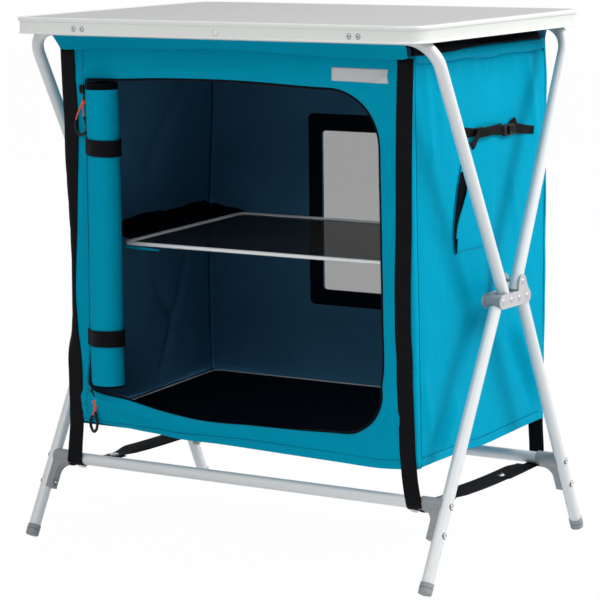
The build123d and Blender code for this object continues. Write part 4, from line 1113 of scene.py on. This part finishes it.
def make_side_strap():
    line = spline((-48, 637), (-20, 634.5), (0, 633), (25, 632), (60, 631), (85, 629.5), (100, 629.5),
                  (122, 628), (145, 625), (170, 622))
    half = spline((-48, 7.5), (20, 5.5), (60, 7), (100, 8), (140, 7), (170, 6.2))
    across = (-1, -0.96, -0.6, -0.2, 0.2, 0.6, 0.96, 1)
    shape, rows, flat = Shape(), [], []
    for y in steps(170.5, -46, 70):
        near = hill(y, 106, 9)
        out = 1.6 + 4.5 * near + 2.0 * hill(y, 60, 26) + 1.2 * sin(y * 0.11)
        rows.append([side_place(1, y, line(y) + w * half(y) + near * (8 * max(0, w) + 1.5),
                                out + (0 if abs(w) > 0.98 else 0.6)) for w in across])
        flat.append([(w * 8, y) for w in across])
    shape.sheet(rows, 1.2, flat)
    # Second layer: the loose end passes through the buckle and hangs down at the left.
    places, widths, normals = [], [], []
    for t in steps(0, 1, 26):
        late, hanging = rise(t, 0.72, 1), rise(t, 0.7, 1)
        out = 4.2 + 3.5 * sin(pi * t) + 3.0 * hanging
        places.append(side_place(1, 66 - 96 * t, 634 - 2 * t - 17 * late, out))
        twist = radians(-8 - 34 * hanging)
        widths.append((0.1, sin(twist), cos(twist)))
        normals.append((1, 0.25 * sin(5 * t), 0.2 * hanging))
    shape.ribbon(places, widths, normals, 7.2, 1.3)
    shape.make("side_webbing", "side_strap", "webbing", "webbing", **BACK)

    buckle = Shape()
    for centre, length, wide, thick in ((87, 32, 8.6, 4.4), (2, 22, 7.6, 2.8)):
        middle = line(centre)
        base = side_place(1, centre, middle, 2.6)[0]
        square = [[max(-1, min(1, 1.25 * wave(radians(a)))) for wave in (cos, sin)] for a in range(0, 360, 8)]
        rows = [[(base + lift, centre + length / 2 * a * scale, middle + wide * b * scale) for a, b in square]
                for scale, lift in ((0.97, 0), (1, 0.8), (1, thick - 1.2), (0.95, thick - 0.2), (0.88, thick),
                                    (0.62, thick), (0.58, thick - 0.9), (0.5, thick - 1.2), (0.3, thick - 1.2),
                                    (0.02, thick - 0.9))]
        buckle.grid(rows, 0, [[(k, row[0][0] - base) for k in range(45)] for row in rows], loop=True)
        reach = wide * 0.75
        buckle.tube([(base + thick + 0.4, centre, z) for z in steps(middle - reach, middle + reach, 8)], 1.5)
    buckle.make("strap_buckle", "side_buckle", "black", "black_plastic", **BACK)


def make_pocket():
    edge_y = spline((463, -66), (483, -63), (506, -58), (532, -46), (563, -34), (590, -40), (612, -50))
    seam_y = spline((463, -67), (468, -70), (488, -72), (516, -70), (558, -61), (587, -50), (612, -40))
    shape, rows, flat = Shape(), [], []
    for z in steps(463, 611, 40):
        start = max(edge_y(z), seam_y(z) + 1.5)
        row, spots = [], []
        for t in steps(0, 1, 30):
            y = start + (60 - start) * t ** 1.2
            opened = 3.2 * hill(z, 548, 34) * hill(y, start, 22)
            lift = (0.9 + opened) * rise(z, 462, 468) * (1 - rise(z, 590, 608)) * (1 - rise(t, 0.88, 0.99))
            row.append(side_place(1, y, z, lift - 0.25))
            spots.append((y, z))
        rows.append(row)
        flat.append(spots)
    shape.sheet(rows, 0.9, flat, LINED)
    # A black cloth strip in the slit between the seam and the pocket's lifted edge: painted shade of the
    # pocket's mouth.
    rows, flat = [], []
    for z in steps(463, 580, 34):
        wide = edge_y(z) + 5 - seam_y(z)
        rows.append([side_place(1, seam_y(z) + wide * t, z, 0.75) for t in steps(0, 1, 7)])
        flat.append([(t * 20, z) for t in steps(0, 1, 7)])
    shape.sheet(rows, 0.6, flat, (2, 2, 2))
    pocket = shape.make("pocket_patch", "side_pocket", "blue navy black_cloth", "blue_cloth", **BACK)
    # A darker blue tube along the pocket's sewn edge: a raised seam, darker as painted shade of its crease.
    seam_shade_tube = Shape()
    seam_shade_tube.tube([side_place(1, seam_y(z) + 0.4, z, 1.0) for z in steps(462, 600, 40)], 0.9, 8)
    seam_shade_tube.make("pocket_seam_shade", "", "seam", "blue_cloth", **BACK)
    line = [side_place(1, y, 466.5 - 0.05 * (y + 62), 1.0) for y in steps(-58, 54, 40)]
    stitches("pocket_stitches", [line], **BACK)


def make_patch():
    rows, flat = [], []
    for t in steps(0, 1, 12):
        spots = [(178 + 92.5 * s - (1 - s) * (1 - t), 717.5 - 1.6 * s + (19.1 + 0.8 * s) * t)
                 for s in steps(0, 1, 34)]
        rows.append([front_place(u, z, 0.5 + 0.25 * (0 < t < 1)) for u, z in spots])
        flat.append(spots)
    shape = Shape()
    shape.sheet(rows, 0.5, flat)
    patch = shape.make("blank_patch", "name_patch", "patch", "patch")
    inset = [(180, 719), (268.6, 717.4), (268.8, 734.4), (180, 735.2), (180, 719)]
    path = [between(a, b, t) for a, b in zip(inset, inset[1:]) for t in steps(0, 1, 14)]
    stitches("patch_stitches", [[front_place(u, z, 0.85) for u, z in path]], "patch_thread", 2.6, 1.7, 0.22)


make_side_strap()
make_pocket()
make_patch()


# Seams and rows of stitches on the walls; the seams are raised tubes in a darker blue, as painted shade of
# their creases

def make_seams():
    hem_gap = spline((-300, 6), (-230, 4.5), (-150, 8), (-60, 11), (20, 13.5), (300, 13))
    heights = steps(196, 750, 70)

    def jamb(inset, out):
        return [front_place(jamb_x(z) - inset, z, out) for z in heights]

    def hem(reach, gap, out):
        return [front_place(u, hem_z(u) + hem_gap(u) - gap, out) for u in steps(-reach, reach, 70)]

    def side_lines(side, above_hem, above_seam, outs):
        """Lines along a side wall's hem and upper seam."""
        return ([side_place(side, y, side_low(side, y) + above_hem, outs[0]) for y in steps(-165, 190, 60)],
                [side_place(side, y, side_seam_z(y) + above_seam, outs[1]) for y in steps(-172, 190, 60)])

    seams, sides, sewn = Shape(), Shape(), []
    # Thin tubes in the darker seam_shade blue along the jamb, the hem, the front corners and the side walls'
    # seams: raised seams, darker as painted shade of their creases and of the step at the front corners.
    seams.tube(jamb(1.4, 0.0), 0.55, 6)
    seams.tube(hem(284, 0, 0.05), 0.5, 6)
    for side in (-1, 1):
        seams.tube([front_place(side * 315.6, z, 0.15) for z in steps(HEM, TOP, 70)], 0.45, 6)
        for line, radius in zip(side_lines(side, 12.6, 0, (0.25, 0.5)), (0.5, 0.55)):
            sides.tube(line, radius, 6)
        sewn += side_lines(side, 9.8, 3.6, (0.15, 0.15))
    seams.make("front_seam_shade_lines", "", "seam", "blue_cloth")
    sides.make("side_seam_shade_lines", "", "seam", "blue_cloth", **BACK)
    edge = [front_place(u + 3.0 * nu, z + 3.0 * nz, 0.1)
            for (u, z), (nu, nz) in zip(OPENING, outward(OPENING))]
    stitches("front_stitches", [edge[:212], jamb(5.0, 0.1), hem(282, 2.4, 0.1)])
    stitches("side_stitches", sewn, **BACK)


make_seams()


# Metal fasteners

HUB_Z = 391
DOME = [(4.4, -0.3), (4.4, 0.35), (4.0, 0.85), (3.0, 1.35), (1.6, 1.65), (0, 1.7)]
RING_HEAD = [(4.3, -1.1), (4.3, 0.5), (3.7, 1.15), (2.7, 1.4), (1.9, 1.15), (1.45, 0.4), (1.3, -0.4),
             (0, -0.4)]
PAN_HEAD = [(3.5, -0.1), (3.5, 0.55), (3.2, 1.15), (2.5, 1.6), (1.6, 1.75), (1.4, 0.9), (1.3, 0.5), (0, 0.5)]
# A dark grey ring under each leg rivet's head: painted shade round the head.
SHADE_RING = [(5.0, -2.4), (5.0, 0.1), (4.7, 0.3), (4.2, 0.3)]
STUD_CAP = [(6.9, -0.2), (6.9, 0.7), (6.3, 1.6), (5.2, 2.2), (4.0, 1.9), (3.3, 1.2), (1.2, 1.2), (0, 1.3)]


def make_rim_screws():
    shape, height = Shape(), 784.55
    for side in (-1, 1):
        axis = (0, side, 0)
        for x in (-233.5, -218.5, 242.5, 257.5):
            shape.lathe(PAN_HEAD, (x, side * 249, height), axis)
            # A thin dark grey ring round each screw head, and dark grey bars in its cross recess: painted
            # shade under the head and in the recess.
            shape.lathe([(4.1, -0.2), (4.1, 0.15), (3.4, 0.15)], (x, side * 249, height), axis, 20, 1)
            for turn in (20, 110):
                dx, dz = 1.25 * cos(radians(turn)), 1.25 * sin(radians(turn))
                shape.tube([(x + k * dx, side * 249.9, height + k * dz) for k in (-1, 1)], 0.45, 6, 1)
        shape.lathe([(r * 1.05, h * 1.15) for r, h in DOME], (20, side * 249, height), axis, 24, 2)
        shape.lathe([(5.3, -0.2), (5.3, 0.12), (4.5, 0.12)], (20, side * 249, height), axis, 24, 3)
    shape.make("rim_screws", "rim_fasteners", "bright dark_grey rim plate", "fastener_steel", "table_top")


def make_hub_rivets(name, node, spots):
    shape = Shape()
    for side in (-1, 1):
        for y, z in spots:
            for profile, sides, slot in (([(r, -31.0 - h) for r, h in DOME[::-1]], 20, 0),
                                         ([(2.4, -30.8), (2.4, -0.3)], 16, 1), (DOME, 20, 0)):
                shape.lathe(profile, (side * 361.3, y, z), (side, 0, 0), sides, slot)
    shape.make(name, node, "bright grey", "fastener_steel", "upper_rear")


def make_leg_details(end, pivot, foot, reach):
    """Rivets and foot lines of the lower legs at one end, front or rear."""
    def along(distance, x):
        """Point on the leg's axis at a distance from its hub pivot."""
        share = distance / hypot(foot - pivot, HUB_Z)
        return Vector((x, pivot + (foot - pivot) * share, HUB_Z - HUB_Z * share))

    length = hypot(reach, HUB_Z)
    bar = length * 273 / HUB_Z
    stop = (HUB_Z + 0.6 - 7.66 * reach / length - 2.5) * length / HUB_Z + 2.5
    rivets, lines = Shape(), Shape()
    for side in (-1, 1):
        for distance, inner_x in ((bar, 333.2), (bar + 43, 334)):
            origin, deep = along(distance, side * 359), inner_x - 359
            shank = [(4.2, deep - 1.5), (4.2, deep), (2.4, deep), (2.4, -1)]
            rivets.lathe(shank + RING_HEAD, origin, (side, 0, 0), 22)
            # Dark grey ring under the rivet's head: painted shade.
            rivets.lathe(SHADE_RING, origin, (side, 0, 0), 22, 1)
        a, b = along(stop - 10, side * 350), along(stop, side * 350)
        lines.lathe([(10.0, -0.5), (10.35, -0.3), (10.35, 0.3), (10.0, 0.5)], a, b - a, 32)
    body = f"lower_{end}"
    rivets.make(f"{end}_leg_rivets", f"{end}_elbow_rivets", "bright dark_grey", "fastener_steel", body)
    lines.make(f"{end}_foot_lines", "", "dark_grey", "grey_plastic", body)


def make_stud_caps(end, how, spots):
    shape = Shape()
    for x, y, z, axis in spots:
        shape.lathe(STUD_CAP, (x, y, z), axis, 24)
    shape.make(f"{end}_stud_caps", f"{end}_strap_studs", "bright", "fastener_steel", **how)


make_rim_screws()
make_hub_rivets("pivot_pin_heads", "hub_pivot_pins", ((-22, HUB_Z), (2, HUB_Z), (50, HUB_Z)))
make_hub_rivets("fixed_rivet_heads", "hub_fixed_rivets", ((26, HUB_Z), (36.35, 413.75)))
make_leg_details("front", -22, -236, 214)
make_leg_details("rear", 50, 236, 186)
make_stud_caps("front", FRONT_STRAP, [(s * 297, -170.5, 106.2, (0, -0.45, -0.9)) for s in (-1, 1)])
make_stud_caps("rear", BACK, [(s * 303, 177.5, 106.6, (0, 0.1, -1)) for s in (-1, 1)])
make_stud_caps("depth", FRONT_STRAP, [(s * 297, y, 109.7 - strap_sag(y) + (0.8 if d > 0 else -2.7), (0, 0, d))
                                      for s in (-1, 1) for y in (-88, 84) for d in (-1, 1)])


# Zip sliders with their leads, cord loops and grips

def slider(shape, x, z, height):
    """Small moulded slider body, rounded at its ends."""
    depth = front_y(height) + 0.6
    rows = []
    for scale, lift in ((0.92, 0), (1, 0.6), (1, 2.6), (0.9, 3.4), (0.6, 3.8), (0.05, 3.9)):
        row = []
        for k in range(28):
            a = 2 * pi * k / 28
            px, pz = (size * scale * abs(wave) ** 0.6 * (1 if wave > 0 else -1)
                      for size, wave in ((4.4, cos(a)), (6.8, sin(a))))
            row.append((x + px * (1 + 0.15 * sin(a)), -(depth + lift), z + pz))
        rows.append(row)
    shape.grid(rows, 0, loop=True)
    bridge = ((3.4, 4.5), (5.6, 3), (5.8, -1), (3.6, -3))
    shape.tube([(x, -(depth + out), z + up) for out, up in bridge], 1.0, 8)


def knot_path(x, y, z, size):
    """Small overhand knot as a closed trefoil path."""
    return [(x + size * 0.42 * (sin(t) + 2 * sin(2 * t)), y - size * 0.45 * sin(3 * t),
             z + size * 0.34 * (cos(t) - 2 * cos(2 * t))) for t in steps(0, 2 * pi, 41)]


def curve_through(points, count):
    """Smooth path through points, with a count of steps between two of them."""
    ends = points[:1] + points + points[-1:]
    path = []
    for row in zip(ends, ends[1:], ends[2:], ends[3:]):
        for t in (k / count for k in range(count)):
            path.append(tuple(0.5 * (2 * b + (c - a) * t + (2 * a - 5 * b + 4 * c - d) * t * t
                                     + (3 * b - a - 3 * c + d) * t ** 3) for a, b, c, d in zip(*row)))
    return path + points[-1:]


def make_pull(name, depth, hook, knot, loop):
    """Zip pull: a lead on the slider, a cord loop with its knot, and a grip on the loop."""
    body, (hx, hz), (kx, kz) = f"{name}_zip_pull", hook, knot
    points = [(x, -depth - 0.9 * sin(i * 0.9) - (0.8 if i in (0, len(loop) - 1) else 0), z)
              for i, (x, z) in enumerate(loop)]
    curve = bpy.data.curves.new(f"{name}_pull_loop", "CURVE")
    curve.dimensions = "3D"
    line = curve.splines.new("NURBS")
    line.points.add(len(points) - 1)
    for spot, p in zip(line.points, points):
        spot.co = (p[0] * MM, p[1] * MM, p[2] * MM, 1)
    line.order_u, line.use_endpoint_u, line.resolution_u = 3, True, 10
    curve.bevel_depth, curve.bevel_resolution, curve.use_fill_caps = 0.00125, 4, True
    curve.materials.append(FINISH["orange"])
    cord = link(f"{name}_pull_loop", curve)
    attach(cord, body)
    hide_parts(f"zip_pull_{name}")

    def part(kind, finish, slot, *tubes):
        shape = Shape()
        for spots, radius, sides in tubes:
            shape.tube([(x, y - depth, z) for x, y, z in spots], radius, sides)
        return shape.make(f"{name}_pull_{kind}", "", finish, slot, body)

    long_end = [(kx - 1, -1.4, kz - 7), (kx + 2.4, -2.4, kz - 4.2), (kx + 4.6, -2.0, kz - 2.6)]
    short_end = [(kx - 1, -1.0, kz - 7), (kx - 4.2, -1.8, kz - 5.6)]
    tie = part("knot", "orange", "pull_cord", (knot_path(kx - 0.4, -0.6, kz - 6, 2.6), 1.0, 8),
               (long_end, [1.0, 0.95, 0.75], 8), (short_end, [1.0, 0.75], 8))
    path = curve_through([(x, y + depth, z) for x, y, z in points[4:12]], 4)
    radius = [1.5 + 0.75 * rise(min(i, len(path) - 1 - i), 0, 3) for i in range(len(path))]
    grip = part("grip", "black", "black_plastic", (path, radius, 12))
    ring = [(kx - 0.2 + 1.9 * cos(a), -0.8 + 0.5 * sin(a), kz - 1.6 + 2.3 * sin(a))
            for a in steps(0, 2 * pi, 19)]
    part("lead", "black", "black_plastic",
         ([(hx - 4.5, 0.6, hz - 1), (hx - 1.5, -0.6, hz + 0.5), (hx, -0.5, hz - 5), (kx + 0.2, -0.6, kz + 2.5),
           (kx, -0.6, kz - 1.5)], [0.8, 1.1, 1.1, 1.0, 0.9], 8), (ring, 0.7, 8))


sliders = Shape()
slider(sliders, -265, 691, 690)
slider(sliders, -266, 229, 229)
sliders.make("zip_slider_bodies", "zip_sliders", "black", "black_plastic")
# Cord loops, each with its points from the slider down and up again.
TOP_LOOP = ((-259.4, 676), (-261, 671), (-266, 664), (-271, 655), (-275.6, 645), (-276.4, 634),
            (-273.2, 625.4), (-266.2, 622.8), (-257.8, 625.6), (-254.2, 633.4), (-256.4, 642),
            (-260.6, 650), (-262, 659), (-261.4, 668))
BOTTOM_LOOP = ((-258.6, 219), (-257.4, 214), (-259.6, 207), (-260, 199), (-263.6, 192), (-268.2, 184),
               (-267.4, 173), (-261.6, 166.4), (-255.8, 172), (-254.4, 182), (-257.2, 190),
               (-258.4, 198), (-257, 206), (-257.6, 213))
make_pull("top", 193.6, (-260.2, 694), (-259.2, 676.6), TOP_LOOP)
make_pull("bottom", 185.6, (-262.2, 232), (-259.4, 219.4), BOTTOM_LOOP)


# Finishes and softened edges of the CAD parts that stay

PLATES = "hub_plate_outer_left hub_plate_outer_right hub_plate_inner_left hub_plate_inner_right"
for names, finish in (
        ("top_panel", "laminate"), ("top_cross_rail", "rim"), ("front_brackets rear_brackets", "steel"),
        ("upper_front_frame upper_rear_frame lower_front_crossbar lower_rear_crossbar lower_front_leg_left "
         "lower_front_leg_right lower_rear_leg_left lower_rear_leg_right", "tube"),
        ("upper_front_knuckles upper_rear_knuckles lower_front_knuckles lower_rear_knuckles front_elbows "
         "rear_elbows front_feet rear_feet", "grey"),
        (PLATES, "plate"), ("floor_board_frame", "rod"), ("floor_board", "board")):
    for name in names.split():
        mesh = nodes[name].data
        mesh.materials.clear()
        mesh.materials.append(FINISH[finish])
for name in f"{PLATES} front_elbows rear_elbows front_brackets rear_brackets".split():
    bevel = nodes[name].modifiers.new("edges", "BEVEL")
    bevel.width, bevel.segments, bevel.limit_method, bevel.angle_limit = 0.0005, 2, "ANGLE", radians(40)
